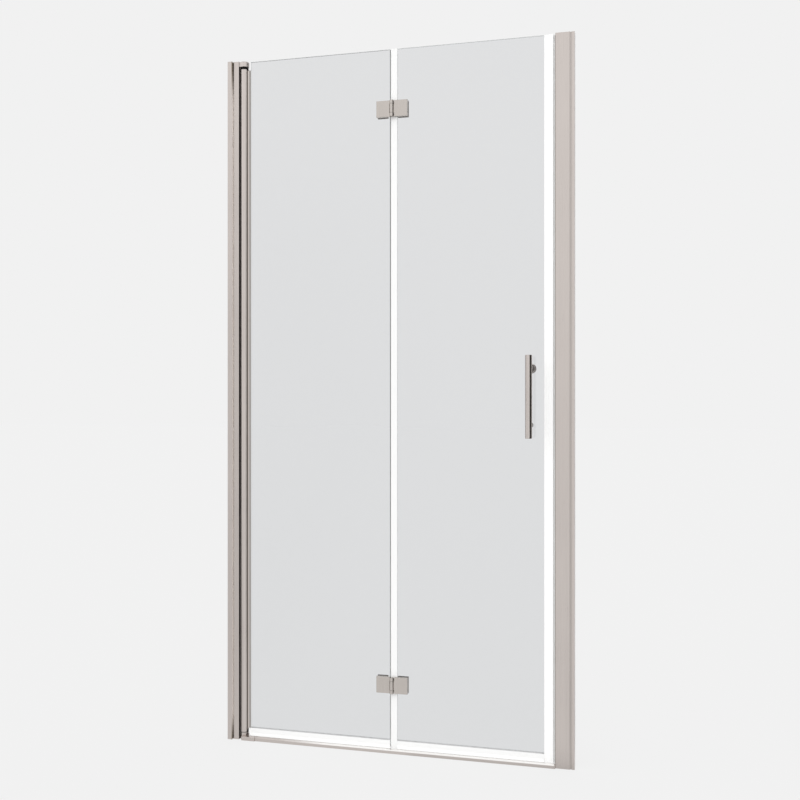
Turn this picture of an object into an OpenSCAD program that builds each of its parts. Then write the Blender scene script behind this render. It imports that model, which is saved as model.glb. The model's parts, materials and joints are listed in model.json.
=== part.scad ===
// Bi-fold pivot shower door for a recess, in millimetres.
// X runs along the door from the pivot wall to the strike wall, Y runs into the shower and Z is up.
// The origin is on the tray, half way between the walls, in the middle plane of the closed glass.
// The pivot leaf turns on the tube by the left wall and lifts on a pair of cams as it opens.
// The second leaf folds on it, front faces together, about the barrels of two glass hinges.

/* [Opening] */
// Width from wall to wall
overall_w = 985; // [900:5:1100]
// Height of the wall profiles above the tray
overall_h = 1950; // [1850:5:2050]
// Distance from the left wall to the axis the pivot leaf turns on
pivot_inset = 44; // [43.5:0.5:52]
// Distance from the pivot axis to the fold axis
pivot_leaf_w = 442; // [400:1:470]

/* [Glass] */
// Thickness of both panes
glass_t = 8; // [6:0.5:10]
// Drop from the top of the profiles to the top edge of the glass
glass_drop = 0.5; // [0:0.5:6]
// Height of the lower edge of the glass above the tray
glass_foot = 20; // [18:0.5:24]
// Pivot pane's edge, back from the fold axis
edge_back = 6.7; // [4.6:0.1:7]
// Fold pane's edge, on from the fold axis
edge_on = 6; // [5.8:0.1:7]
// Radius inside the notches at the pivot pane's corners
notch_r = 5; // [2:0.5:8]
// Width of the ground arris along the panes' edges
arris = 0.5; // [0.3:0.1:1]
// Radius of the holes drilled in the glass
glass_hole_r = 5; // [4.6:0.1:5.4]

/* [Wall profiles] */
// How far the left wall channel stands out from the wall
channel_w = 14; // [13.5:0.5:15]
// Depth of the left wall channel, front to back
channel_d = 40; // [38:0.5:44]
// Wall thickness of the left wall channel
channel_wall = 2; // [1.6:0.1:2.4]
// Depth of the visible part of the jamb profile
jamb_d = 28; // [26:0.5:30]
// Wall thickness of the jamb profile
jamb_wall = 1.8; // [1.4:0.1:2]
// Width of the shadow groove between wall channel and jamb
shadow_w = 2.5; // [1.5:0.1:3]
// Depth of the shadow groove
shadow_d = 1.5; // [0.8:0.1:1.6]
// How far the jamb's nose reaches past the back of the pivot tube
nose_wrap = 0.4; // [0:0.1:2]
// Width of the strike profile's face
strike_w = 38.4; // [35:0.2:42]
// Depth of the strike profile
strike_d = 24; // [23:0.5:27]
// Wall thickness of the strike profile
strike_wall = 1.8; // [1.5:0.1:2]
// Width of the groove between strike profile and wall bead
strike_gap = 5.1; // [4:0.1:7]
// Width of the bead at the foot of the right wall channel
bead_w = 7.3; // [6:0.1:8.5]
// Depth of that bead
bead_d = 23; // [21.5:0.5:24]
// Length of the right wall channel's legs inside the strike profile
leg_in = 16.6; // [15:0.1:18]
// Wall thickness of the right wall channel's legs
leg_t = 1.8; // [1.5:0.1:2]
// Rounding of the profiles' outer corners
corner_r = 0.5; // [0.4:0.1:1.2]
// Radius of the wall fixing holes
wall_hole_r = 3; // [2.5:0.1:3.5]
// Distance of the outer wall fixing holes from the ends
wall_hole_end = 200; // [150:5:260]

/* [Pivot] */
// Outer diameter of the pivot tube
tube_d = 24; // [23.6:0.1:25]
// Wall thickness of the pivot tube
tube_wall = 2; // [1.8:0.1:2.1]
// Reach of the glass channel from the pivot axis
arm_reach = 17.2; // [16.8:0.1:20]
// Thickness of the glass channel's two arms
arm_t = 2.4; // [2:0.1:2.8]
// Thickness of the glass gasket on each face
gasket_t = 1.8; // [1.4:0.1:2]
// Height of the bare tube below the glass channel
arm_foot = 13; // [11:0.5:18]
// Width of the front gasket's lip beyond the arm
lip_w = 4.4; // [3:0.1:5]
// Height of the bare tube above the glass channel
arm_head = 4; // [3:0.5:10]
// Height the leaf rises as it opens to a right angle
lift = 5; // [3:0.5:5.5]
// Diameter of the pivot pins
pin_d = 8; // [7:0.1:8.2]
// Height of the fixed sleeve round the cams
sleeve_h = 9.6; // [9:0.1:12]
// Height of the top pivot cap
cap_h = 14.4; // [13.6:0.2:16]
// Outer diameter of the top pivot cap
cap_d = 26.2; // [25.4:0.1:26.4]
// Height of the black bush that shows below the cap
bush_show = 7.2; // [6.8:0.1:10]
// Diameter of the bush
bush_d = 21.4; // [20.4:0.1:21.6]
// Diameter of the flange at the foot of the bush
flange_d = 25; // [23:0.1:25.4]
// Diameter of the vertical screws that hold the pivot brackets
bracket_screw_d = 4; // [3.5:0.1:4.4]

/* [Fold hinges] */
// Distance of the upper hinge's middle from the top of the profiles
hinge_drop = 167; // [140:1:220]
// Height of the lower hinge's middle above the tray
hinge_foot = 187; // [160:1:240]
// Width of a front clamp plate
plate_w = 37.2; // [34:0.2:42]
// Height of the clamp plates
plate_h = 44.6; // [42:0.2:50]
// Thickness of the clamp plates
plate_t = 7; // [6.4:0.1:8]
// Gap from the fold axis to the front plates
plate_inset = 7; // [6.8:0.1:8]
// Width of a back clamp plate
back_w = 30; // [28:0.2:34]
// Thickness of the clamp gaskets
clamp_gasket_t = 1; // [0.8:0.1:1.4]
// Diameter of the hinge barrels
barrel_d = 12; // [11:0.1:12.4]
// Height of the middle knuckle
knuckle_h = 24.4; // [20:0.2:26]
// Diameter of the hinge pins
hinge_pin_d = 6; // [5:0.1:6.4]
// Width of the chamfer round the clamp plates' outer faces
plate_edge = 0.4; // [0.2:0.1:1.2]
// Diameter of the clamp screws and handle studs
screw_d = 5; // [4:0.1:5.4]
// Distance between the two screws of a clamp plate
screw_pitch = 24; // [20:0.5:27]

/* [Handle] */
// Diameter of the handle bar
bar_d = 18.4; // [17:0.2:22]
// Length of the handle bar
bar_l = 220.6; // [200:1:260]
// Height of the handle's middle
handle_z = 985; // [900:5:1100]
// Distance from the fold pane's free edge to the handle's middle
handle_in = 48; // [40:1:60]
// Distance from the glass face to the middle of the bar
handle_off = 45; // [38:0.5:50]
// Overhang of the bar beyond each post
bar_over = 34.3; // [28:0.1:42]
// Diameter of the handle posts
post_d = 12; // [11:0.2:13]
// Diameter of the knob inside
knob_d = 26; // [24:0.5:30]
// Reach of the knob from the glass
knob_l = 25; // [22:0.5:30]
// Thickness of the clear washers on the glass
washer_t = 1; // [0.8:0.1:1.5]

/* [Seals] */
// Thickness of the seals' walls
seal_t = 1.5; // [1.2:0.1:1.8]
// Gap from the pivot pane's edge to the nose of the gap seal
nose_gap = 2.1; // [1.8:0.1:2.6]
// Radius of the gap seal's nose
nose_r = 4; // [3.6:0.1:4.2]
// Reach of a seal's legs over the glass
seal_leg = 8.1; // [7.6:0.1:9]
// Reach of the magnetic seal's legs over the glass
magnet_leg = 11; // [9:0.5:13]
// Width of the magnetic seal's box beyond the glass
magnet_box_w = 12.5; // [11:0.1:14]
// Depth of the magnetic seal's box
magnet_box_d = 13; // [11.5:0.1:14]
// Gap between the two magnetic faces
magnet_gap = 1; // [0.6:0.1:1.6]
// Width of the magnet strip that stands out of the strike profile
strip_w = 4.9; // [4:0.1:6]
// Height of the drip seals' front band above the lower edge of the glass
drip_h = 13.7; // [10:0.1:16]

/* [Threshold] */
// Height of the threshold rail
rail_h = 11; // [10.4:0.1:12]
// Reach of the rail's front from the middle plane of the glass
rail_front = 17; // [16:0.5:20]
// Reach of the rail's back from the middle plane of the glass
rail_back = 12; // [10:0.5:16]
// Depth of the rail's front upstand
upstand_d = 9.5; // [8.5:0.1:10]
// Height of the ledge behind the upstand
ledge_h = 5; // [4.5:0.1:6]
// Length of the left bracket beyond the pivot axis
bracket_l = 38; // [34:1:46]
// How far the bracket stands forward of the rail
bracket_proud = 3; // [1:0.5:4]

/* [Clearances] */
// Radial clearance of a pin that turns in its hole
run_clear = 0.05; // [0.02:0.01:0.08]
// Gap between faces that move past each other
move_gap = 0.3; // [0.2:0.05:0.4]
// Gap round parts that slide into one another when fitted
slide_gap = 0.4; // [0.3:0.05:0.5]
// Gap between the tube and the pocket in the jamb
pocket_gap = 1.2; // [0.8:0.1:1.6]
// Play of a seal or a plug on the piece that it is pushed on or into
push_fit = 0.2; // [0.1:0.05:0.3]
// Gap between the two cams
cam_gap = 0.25; // [0.2:0.05:0.4]
// Radial play of a screw in a plain hole
screw_play = 0.2; // [0.1:0.05:0.3]
// Gap between the seals' lower edge and the rail
sweep_gap = 0.5; // [0.4:0.1:1]

/* [Hidden] */
$fn = 64;
eps = 0.01;

// Colours as the finish shows
nickel = [0.78, 0.74, 0.71];
steel = [0.66, 0.66, 0.68];
black = [0.07, 0.07, 0.07];
white = [0.95, 0.95, 0.95];
clear_white = [0.88, 0.9, 0.9];
gasket_grey = [0.33, 0.31, 0.29];
glass_tint = [0.8, 0.88, 0.87, 0.4];

// Places along X
left_x = -overall_w / 2;
right_x = overall_w / 2;
pivot_x = left_x + pivot_inset;
fold_x = pivot_x + pivot_leaf_w;
strike_x = right_x - bead_w - strike_gap - strike_w;
magnet_face_x = strike_x - strip_w - magnet_gap;
pane_end_x = magnet_face_x - magnet_box_w - push_fit;
handle_x = pane_end_x - handle_in;
nose_x = pivot_x - tube_d / 2 + nose_wrap;
port_in = 7;
port_x = left_x + channel_w + port_in;
rail_x = pivot_x + bracket_l;

// Places along Z
post_pitch = bar_l - 2 * bar_over;
sleeve_top = rail_h + sleeve_h;
tube_foot = sleeve_top + move_gap;
cap_foot = overall_h - cap_h;
tube_head = cap_foot - bush_show - move_gap;
arm_z0 = tube_foot + arm_foot;
arm_z1 = tube_head - arm_head;
glass_top = overall_h - glass_drop;
seal_foot = rail_h + sweep_gap;
hinge_zs = [hinge_foot, overall_h - hinge_drop];
post_zs = [handle_z - post_pitch / 2, handle_z + post_pitch / 2];
wall_hole_zs = [wall_hole_end, overall_h / 2, overall_h - wall_hole_end];
screw_step = 50;
profile_screw_zs = [wall_hole_zs[0] - screw_step, wall_hole_zs[1] - screw_step, wall_hole_zs[2] + screw_step];

// Depths
glass_face = glass_t / 2;
fold_y = -(glass_face + clamp_gasket_t + plate_t);
bar_y = -(glass_face + handle_off);
pin_r = pin_d / 2;
pin_hole_r = pin_r + 0.02;
pin_cut = 0.6;
edge_cut = 0.6;
slider_d = channel_d - 2 * channel_wall - 2 * slide_gap;
slider_t = 2;
slider_in = 3;
slider_end = channel_w - 2;
screw_line_x = left_x + (slider_in + slider_end) / 2;
inner_r = 0.6;
sealant_w = 1.6;
sealant_deep = 0.6;
tongue_w = 12;
tongue_h = 8;
bore_r = tube_d / 2 - tube_wall;
flat_x = 5;
plug_clear = 0.1;
sleeve_r = bore_r - push_fit;
cam_r = sleeve_r - push_fit;
cam_base = 2;
pin_hole_floor = 2;
pin_in_leaf = 26;
pin_room = 3;
bracket_screw_r = bracket_screw_d / 2;
screw_hole_r = bracket_screw_r + screw_play;
head_h = 2.2;
screw_sink = 0.4;
screw_l = 35;
tongue_tail = 5;
tongue_step = 2;
plug_h = 3;
plug_skin = 1.2;
port_wall = 2.2;

// A straight run of an outline from height z0 to height z1
module rise(z0, z1) translate([0, 0, z0]) linear_extrude(z1 - z0) children();

// An outline drawn with depth across and height up, run from x0 to x1
module run(x0, x1) translate([x0, 0, 0]) rotate([90, 0, 90]) linear_extrude(x1 - x0) children();

// A rectangle from x0 to x1 whose depth is centred on the glass plane, with round corners
module round_rect(x0, x1, d, r) {
  translate([x0 + r, -d / 2]) square([x1 - x0 - 2 * r, d]);
  translate([x0, -d / 2 + r]) square([x1 - x0, d - 2 * r]);
  for (x = [x0 + r, x1 - r]) for (y = [-d / 2 + r, d / 2 - r]) translate([x, y]) circle(r);
}

// A plain rectangle between two X places, its depth centred on the glass plane
module band(x0, x1, d) translate([x0, -d / 2]) square([x1 - x0, d]);

// The same with cut corners
module cut_band(x0, x1, d, c) polygon([
  [x0, c - d / 2], [x0 + c, -d / 2], [x1 - c, -d / 2], [x1, c - d / 2],
  [x1, d / 2 - c], [x1 - c, d / 2], [x0 + c, d / 2], [x0, d / 2 - c]]);

// A hexagon across whose flats a key of size af fits
module hexagon(af) polygon([for (a = [0 : 60 : 300]) af / sqrt(3) * [cos(a), sin(a)]]);

// A round pin along Z with a chamfer at both ends
module pin(h, r, c) rotate_extrude() polygon([[0, 0], [r - c, 0], [r, c], [r, h - c], [r - c, h], [0, h]]);

// A hexagon socket sunk into a face that looks along plus Y
module socket_y(x, z, af, face, deep) translate([x, face + eps, z]) rotate([90, 0, 0])
  linear_extrude(deep + eps) hexagon(af);

// A cylinder along Y from y0 to y1
module pole_y(x, z, r, y0, y1, r_end = 0) {
  last = r_end > 0 ? r_end : r;
  translate([x, y0, z]) rotate([-90, 0, 0]) cylinder(h = y1 - y0, r1 = r, r2 = last);
}

// A corner cut with a round inner corner, from the origin towards plus
module corner_cut(w, h, r) {
  square([w, h - r]);
  square([w - r, h]);
  translate([w - r, h - r]) circle(r);
}

// Outline of the wall channel at the pivot side
module left_channel_section() difference() {
  round_rect(left_x, left_x + channel_w, channel_d, corner_r);
  round_rect(left_x + channel_wall, left_x + 2 * channel_w, channel_d - 2 * channel_wall, inner_r);
  sealant_grooves(left_x, channel_d / 4);
}

// Two shallow grooves for the sealant in a face that looks along minus X
module sealant_grooves(x, y) for (s = [-1, 1])
  translate([x - eps, s * y - sealant_w / 2]) square([sealant_deep + eps, sealant_w]);

module wall_holes(x, w) for (z = wall_hole_zs)
  translate([x - eps, 0, z]) rotate([0, 90, 0]) cylinder(h = w + 2 * eps, r = wall_hole_r);

module left_wall_channel() color(nickel) difference() {
  rise(0, overall_h) left_channel_section();
  wall_holes(left_x, channel_wall);
  for (z = profile_screw_zs)
    pole_y(screw_line_x, z, bracket_screw_r + run_clear,
           channel_d / 2 - channel_wall - eps, channel_d / 2 + eps);
}

// Hollow sections of the jamb profile: the open slider, the main chamber and the screw port
module jamb_hollows() {
  neck_hollow = jamb_d - 2 * shadow_d - 2 * jamb_wall;
  band(left_x + slider_in - eps, left_x + slider_end - jamb_wall, slider_d - 2 * slider_t);
  difference() {
    union() {
      band(left_x + slider_end, nose_x - jamb_wall, neck_hollow);
      band(left_x + channel_w + shadow_w + jamb_wall, nose_x - jamb_wall, jamb_d - 2 * jamb_wall);
    }
    translate([pivot_x, 0]) circle(tube_d / 2 + pocket_gap + jamb_wall);
    translate([port_x, 0]) circle(bracket_screw_r + port_wall);
    band(left_x + slider_end - eps, port_x, jamb_wall);
  }
  translate([port_x, 0]) circle(bracket_screw_r + run_clear);
}

module jamb_section() difference() {
  union() {
    band(left_x + slider_in, left_x + slider_end, slider_d);
    band(left_x + slider_end - eps, left_x + channel_w + shadow_w + corner_r, jamb_d - 2 * shadow_d);
    round_rect(left_x + channel_w + shadow_w, nose_x, jamb_d, corner_r);
  }
  translate([pivot_x, 0]) circle(tube_d / 2 + pocket_gap);
  jamb_hollows();
}

// Slot at an end of the jamb profile where a pivot bracket's tongue lies
module tongue_slot(z0, z1) translate([port_x - tongue_tail - push_fit, -tongue_w / 2 - slide_gap, z0])
  cube([pivot_x - port_x, tongue_w + 2 * slide_gap, z1 - z0]);

module left_jamb_profile() color(nickel) difference() {
  rise(0, overall_h) jamb_section();
  tongue_slot(-eps, tongue_h + push_fit);
  tongue_slot(cap_foot + tongue_step - push_fit, overall_h + eps);
  for (z = profile_screw_zs)
    pole_y(screw_line_x, z, bracket_screw_r + run_clear, slider_d / 2 - slider_t - eps, slider_d / 2 + eps);
}

// Plastic plug in the top of the wall channel
module left_profile_cap() color(black)
  end_plug(left_x + channel_wall, left_x + slider_end - jamb_wall, slider_d - 2 * slider_t);

// A plug between two X places that closes a hollow's top, hollow itself from below
module end_plug(x0, x1, d) difference() {
  rise(overall_h - plug_h, overall_h) band(x0, x1, d);
  rise(overall_h - plug_h - eps, overall_h - plug_skin)
    band(x0 + plug_skin, x1 - plug_skin, d - 2 * plug_skin);
}

// Screws that fix the jamb and strike profiles to the wall channels, heads inside the shower
pan_r = 3.6;
pan_h = 1.8;
profile_screw_l = 7;

module profile_screw(x, z, face) difference() {
  union() {
    pole_y(x, z, bracket_screw_r, face - profile_screw_l, face + eps);
    pole_y(x, z, pan_r, face, face + pan_h, pan_r - 0.8);
  }
  socket_y(x, z, bracket_screw_r, face + pan_h, pan_h - 0.6);
}

strike_screw_x = right_x - bead_w - strike_gap - leg_in / 2;

module profile_screws() color(steel) for (z = profile_screw_zs) {
  profile_screw(screw_line_x, z, channel_d / 2);
  profile_screw(strike_screw_x, z, strike_d / 2);
}

// Snap-on caps over those screw heads
module cover_cap(x, z, face) difference() {
  pole_y(x, z, pan_r + 1.8, face, face + pan_h + 1.4, pan_r + 1.2);
  pole_y(x, z, pan_r + push_fit, face - eps, face + pan_h + push_fit);
}

module screw_cover_caps() color(nickel) for (z = profile_screw_zs) {
  cover_cap(screw_line_x, z, channel_d / 2);
  cover_cap(strike_screw_x, z, strike_d / 2);
}

// Bore in the top cap that the bush slides up into, with its two keyways
bush_in = 2.5;
bush_top = cap_foot + bush_in;
key_w = 2.4;
key_r = bush_d / 2 + 0.9;
cap_bore_top = bush_top + lift + move_gap;
cap_edge = 1;
cap_r = min(cap_d / 2, tube_d / 2 + pocket_gap);
cap_skin = 1.5;
tongue_top = overall_h - 0.5;

module key_bars(z0, z1, grow) for (a = [90, 180])
  translate([pivot_x, 0, z0]) rotate(a) translate([0, -key_w / 2 - grow, 0])
    cube([key_r + grow, key_w + 2 * grow, z1 - z0]);

module top_pivot_cap() color(nickel) difference() {
  union() {
    translate([pivot_x, 0, cap_foot]) rotate_extrude()
      polygon([[0, 0], [cap_r, 0], [cap_r, cap_h - cap_edge], [cap_r - cap_edge, cap_h], [0, cap_h]]);
    translate([nose_x + push_fit, cap_edge - cap_r, cap_foot])
      cube([pivot_x - nose_x - push_fit, 2 * (cap_r - cap_edge), cap_h - cap_edge]);
    translate([port_x - tongue_tail, -tongue_w / 2, cap_foot + tongue_step])
      cube([pivot_x - port_x + tongue_tail, tongue_w, tongue_top - cap_foot - tongue_step]);
  }
  translate([pivot_x, 0, cap_foot - eps])
    cylinder(h = cap_bore_top - cap_foot + eps, r = bush_d / 2 + move_gap);
  key_bars(cap_foot - eps, cap_bore_top, push_fit);
  translate([pivot_x, 0, cap_foot]) cylinder(h = cap_h - cap_skin, r = pin_hole_r);
  translate([port_x, 0, cap_foot]) cylinder(h = cap_h + eps, r = screw_hole_r);
  translate([port_x, 0, tongue_top - head_h])
    cylinder(h = head_h + eps, r1 = screw_hole_r, r2 = screw_hole_r + bracket_screw_r);
}

module top_pivot_pin() color(steel)
  translate([pivot_x, 0, tube_head - pin_in_leaf])
    pin(overall_h - cap_skin - tube_head + pin_in_leaf, pin_r, pin_cut);

// Countersunk screws that hold the top cap and the bottom bracket in the jamb's screw port
module pivot_bracket_screws() color(steel) {
  translate([port_x, 0, tongue_top]) mirror([0, 0, 1]) sunk_screw();
  translate([port_x, 0, screw_sink]) sunk_screw();
}

// Countersunk screw that points up, its head's face at height zero with a hexagon socket
module sunk_screw() difference() {
  rotate_extrude() polygon([[0, 0], [bracket_screw_d, 0], [bracket_screw_r, head_h],
                            [bracket_screw_r, screw_l - 1], [bracket_screw_r - 1, screw_l], [0, screw_l]]);
  translate([0, 0, -eps]) linear_extrude(head_h - 0.6) hexagon(bracket_screw_r + 0.5);
}

// Rail section: a rounded front upstand and a low ledge that drains inwards
rail_r = 3;
rail_wall = 1.8;
rail_roof = 2.4;
tenon_l = 12;
rail_end_w = 3;

module rail_section() {
  top_r = rail_r;
  difference() {
    polygon([[-rail_front, 0], [-rail_front, rail_h], [-rail_front + upstand_d, rail_h],
             [-rail_front + upstand_d, ledge_h], [rail_back, ledge_h / 2], [rail_back, 0]]);
    translate([-rail_front - eps, rail_h - top_r]) difference() {
      square([top_r, top_r + eps]);
      translate([top_r + eps, 0]) circle(top_r);
    }
  }
}

// Hollow under the upstand and two grooves for the sealant, from x0 to x1
module rail_voids(x0, x1) {
  translate([x0, -rail_front + rail_wall, -eps])
    cube([x1 - x0, upstand_d - 2 * rail_wall, rail_h - rail_roof + eps]);
  for (y = [rail_back - 7, rail_back - 3.5]) translate([x0, y, -eps]) cube([x1 - x0, 1.6, 1]);
}

// Tenon that fits the hollow under the upstand
module rail_tenon(x0, x1) run(x0, x1) translate([-rail_front + rail_wall + push_fit, 0])
  square([upstand_d - 2 * rail_wall - 2 * push_fit, rail_h - rail_roof - push_fit]);

module threshold_rail() color(nickel) difference() {
  run(rail_x, strike_x - rail_end_w) rail_section();
  rail_voids(rail_x - 1, strike_x);
}

// Moulded end of the rail against the strike profile, with a tenon in the rail's hollow
module rail_end_cap() color(nickel) {
  run(strike_x - rail_end_w, strike_x) rail_section();
  rail_tenon(strike_x - tenon_l, strike_x - rail_end_w + eps);
}

// Corner bracket: fascia, pivot base, tongue in the jamb and tenon in the rail
fascia_lap = 2;
fascia_r = 1.2;
lug_h = 1.4;

module bottom_pivot_bracket() color(nickel) difference() {
  union() {
    translate([pivot_x, 0, 0]) cylinder(h = rail_h, d = tube_d);
    translate([pivot_x, -tube_d / 2, 0]) cube([bracket_l, tube_d, rail_h]);
    run(pivot_x - fascia_lap, rail_x) difference() {
      translate([-rail_front - bracket_proud, 0])
        square([rail_front + bracket_proud - tube_d / 2 + eps, rail_h]);
      translate([-rail_front - bracket_proud - eps, rail_h - fascia_r]) difference() {
        square([fascia_r, fascia_r + eps]);
        translate([fascia_r + eps, 0]) circle(fascia_r);
      }
    }
    translate([port_x - tongue_tail, -tongue_w / 2, 0])
      cube([pivot_x - port_x + tongue_tail, tongue_w, tongue_h]);
    rail_tenon(rail_x - eps, rail_x + tenon_l);
  }
  translate([pivot_x, 0, pin_hole_floor]) cylinder(h = rail_h, r = pin_hole_r);
  translate([port_x, 0, -eps]) cylinder(h = tongue_h + 1, r = screw_hole_r);
  translate([port_x, 0, -eps]) cylinder(h = screw_sink + 2 * eps, r = screw_hole_r + bracket_screw_r);
  translate([port_x, 0, screw_sink])
    cylinder(h = head_h, r1 = screw_hole_r + bracket_screw_r, r2 = screw_hole_r);
  cam_lugs(rail_h - lug_h - push_fit, rail_h + eps, push_fit);
}

// Fixed sleeve that hides the cams
module pivot_sleeve() color(nickel) translate([pivot_x, 0, rail_h]) rotate_extrude()
  polygon([[sleeve_r, 0], [tube_d / 2, 0], [tube_d / 2, sleeve_h - edge_cut],
           [tube_d / 2 - edge_cut, sleeve_h], [sleeve_r, sleeve_h]]);

module bottom_pivot_pin() color(steel)
  translate([pivot_x, 0, pin_hole_floor]) pin(tube_foot + pin_in_leaf - pin_hole_floor, pin_r, pin_cut);

// Cam height above its valley at an angle: two crests, each rising evenly over a quarter turn
cam_steps = 72;
function cam_rise(a) = let (t = a % 180) lift * (t < 90 ? t : 180 - t) / 90;
cam_valley = rail_h + cam_base;

// A ring from the pin bore to cam_r with one flat end and one end that follows the cam
module cam_ring(flat_z, cam_z) {
  inner = pin_r - 1;
  rows = [for (i = [0 : cam_steps - 1]) let (a = i * 360 / cam_steps, z = cam_z + cam_rise(a))
    each [[inner * cos(a), inner * sin(a), flat_z], [cam_r * cos(a), cam_r * sin(a), flat_z],
          [cam_r * cos(a), cam_r * sin(a), z], [inner * cos(a), inner * sin(a), z]]];
  faces = [for (i = [0 : cam_steps - 1]) for (k = [0 : 3])
    let (a = 4 * i, b = 4 * ((i + 1) % cam_steps), n = (k + 1) % 4)
      each [[a + k, b + k, b + n], [a + k, b + n, a + n]]];
  polyhedron(points = rows, faces = flat_z < cam_z ? [for (f = faces) [f[2], f[1], f[0]]] : faces);
}

// Two square lugs that keep the fixed cam from turning in the bracket
lug_w = 3;
lug_y = 7;

module cam_lugs(z0, z1, grow) for (s = [-1, 1])
  translate([pivot_x - lug_w / 2 - grow, s * lug_y - lug_w / 2 - grow, z0])
    cube([lug_w + 2 * grow, lug_w + 2 * grow, z1 - z0]);

module fixed_cam() color(black) difference() {
  union() {
    translate([pivot_x, 0, 0]) cam_ring(rail_h, cam_valley);
    cam_lugs(rail_h - lug_h, rail_h + 1, 0);
  }
  translate([pivot_x, 0, rail_h - 1]) cylinder(h = cam_base + lift + 2, r = pin_r + run_clear);
}

// Plug outline that fits the tube's bore beside the glass slot
module plug_section() translate([pivot_x, 0]) intersection() {
  circle(bore_r - plug_clear);
  translate([-tube_d, -tube_d]) square([tube_d + flat_x - plug_clear, 2 * tube_d]);
}

// Cam in the foot of the tube, with a plug that the tube's flat keeps from turning
cam_plug_h = pin_in_leaf + pin_room + 3;

module leaf_cam() color(black) difference() {
  union() {
    translate([pivot_x, 0, 0]) cam_ring(tube_foot - move_gap / 6, cam_valley + cam_gap);
    rise(tube_foot - move_gap / 2, tube_foot + cam_plug_h) plug_section();
  }
  translate([pivot_x, 0, rail_h])
    cylinder(h = tube_foot + pin_in_leaf + pin_room - rail_h, r = pin_r + run_clear);
}

module tube_top_plug() color(black) difference() {
  rise(tube_head - pin_in_leaf - lift - 2 * pin_room, tube_head) plug_section();
  translate([pivot_x, 0, tube_head - pin_in_leaf - lift - pin_room])
    cylinder(h = pin_in_leaf + lift + pin_room + eps, r = pin_r + run_clear);
}

// Flanged bush that keys into the top cap and rises with the leaf
flange_h = min(3, bush_show - lift - 2 * move_gap);
flange_r = min(flange_d / 2, cap_r - move_gap);

module lift_bush() color(black) difference() {
  union() {
    translate([pivot_x, 0, tube_head + move_gap]) {
      cylinder(h = flange_h, r = flange_r);
      cylinder(h = bush_top - tube_head - move_gap, d = bush_d);
    }
    key_bars(cap_foot, bush_top, 0);
  }
  translate([pivot_x, 0, tube_head]) cylinder(h = bush_top, r = pin_r + run_clear);
}

// The tube's round part, its glass slot and its bore
slot_wall = 1.5;
groove_in = 4;
groove_out = 1.7;
groove_wall = 1;
slot_w = glass_t + 2 * gasket_t;
arm_d = slot_w + 2 * arm_t;

module tube_voids() translate([pivot_x, 0]) {
  intersection() {
    circle(bore_r);
    translate([-tube_d, -tube_d]) square([tube_d + flat_x, 2 * tube_d]);
  }
  translate([flat_x + slot_wall, -slot_w / 2]) square([arm_reach, slot_w]);
}

module pivot_tube_profile() color(nickel) {
  difference() {
    translate([pivot_x, 0, tube_foot]) rotate_extrude()
      polygon([[0, 0], [tube_d / 2 - edge_cut, 0], [tube_d / 2, edge_cut],
               [tube_d / 2, tube_head - tube_foot], [0, tube_head - tube_foot]]);
    rise(tube_foot - eps, tube_head + eps) tube_voids();
  }
  rise(arm_z0, arm_z1) difference() {
    band(pivot_x + flat_x + 1, pivot_x + arm_reach, arm_d);
    translate([pivot_x, 0]) circle(tube_d / 2 - eps);
    tube_voids();
    for (s = [0, 1]) mirror([0, s]) translate([pivot_x + tube_d / 2 - groove_in, slot_w / 2 + groove_wall])
      square([groove_in + groove_out, arm_t]);
  }
}

// Wedge gasket between glass and arm, with a lip that shows along the glass
glass_in_x = flat_x + slot_wall + 0.7;
rear_lip = 0.6;

module glass_gasket(side, lip) mirror([0, side > 0 ? 1 : 0, 0]) rise(arm_z0, arm_z1) translate([pivot_x, 0]) {
  tip = min(1.2, lip / 2);
  translate([glass_in_x, -slot_w / 2]) square([arm_reach - glass_in_x + eps, gasket_t]);
  polygon([[arm_reach, -glass_face], [arm_reach, -arm_d / 2 + 0.3], [arm_reach + lip - tip, -arm_d / 2 + 0.9],
           [arm_reach + lip, -glass_face]]);
}

module front_glass_gasket() color(gasket_grey) glass_gasket(-1, lip_w);
module rear_glass_gasket() color(gasket_grey) glass_gasket(1, rear_lip);

// A glass pane between two X places
module pane(x0, x1) intersection() {
  rise(glass_foot, glass_top) cut_band(x0, x1, glass_t, arris);
  run(x0 - eps, x1 + eps) rotate(90) cut_band(glass_foot, glass_top, glass_t, arris);
}

// Reach of the notches at the pivot pane's upper and lower corner
top_notch = arm_reach + 4.2;
foot_notch = arm_reach + 0.8;

// Clamp screw places on one leaf, side -1 for the pivot leaf and 1 for the fold leaf
plate_mid = plate_inset + plate_w / 2 + 1.5;

module at_clamp_screws(side) for (c = hinge_zs) for (s = [-1, 1])
  translate([fold_x + side * plate_mid, 0, c + s * screw_pitch / 2]) children();

module pivot_glass() color(glass_tint) difference() {
  pane(pivot_x + glass_in_x, fold_x - edge_back);
  translate([pivot_x, glass_t, glass_top + eps]) rotate([90, 0, 0]) linear_extrude(2 * glass_t)
    mirror([0, 1]) corner_cut(top_notch, glass_top - arm_z1 + eps, notch_r);
  translate([pivot_x, glass_t, glass_foot - eps]) rotate([90, 0, 0]) linear_extrude(2 * glass_t)
    corner_cut(foot_notch, arm_z0 - glass_foot + eps, notch_r);
  at_clamp_screws(-1) pole_y(0, 0, glass_hole_r, -glass_t, glass_t);
}

module fold_glass() color(glass_tint) difference() {
  pane(fold_x + edge_on, pane_end_x);
  at_clamp_screws(1) pole_y(0, 0, glass_hole_r, -glass_t, glass_t);
  for (z = post_zs) pole_y(handle_x, z, glass_hole_r, -glass_t, glass_t);
}

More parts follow.
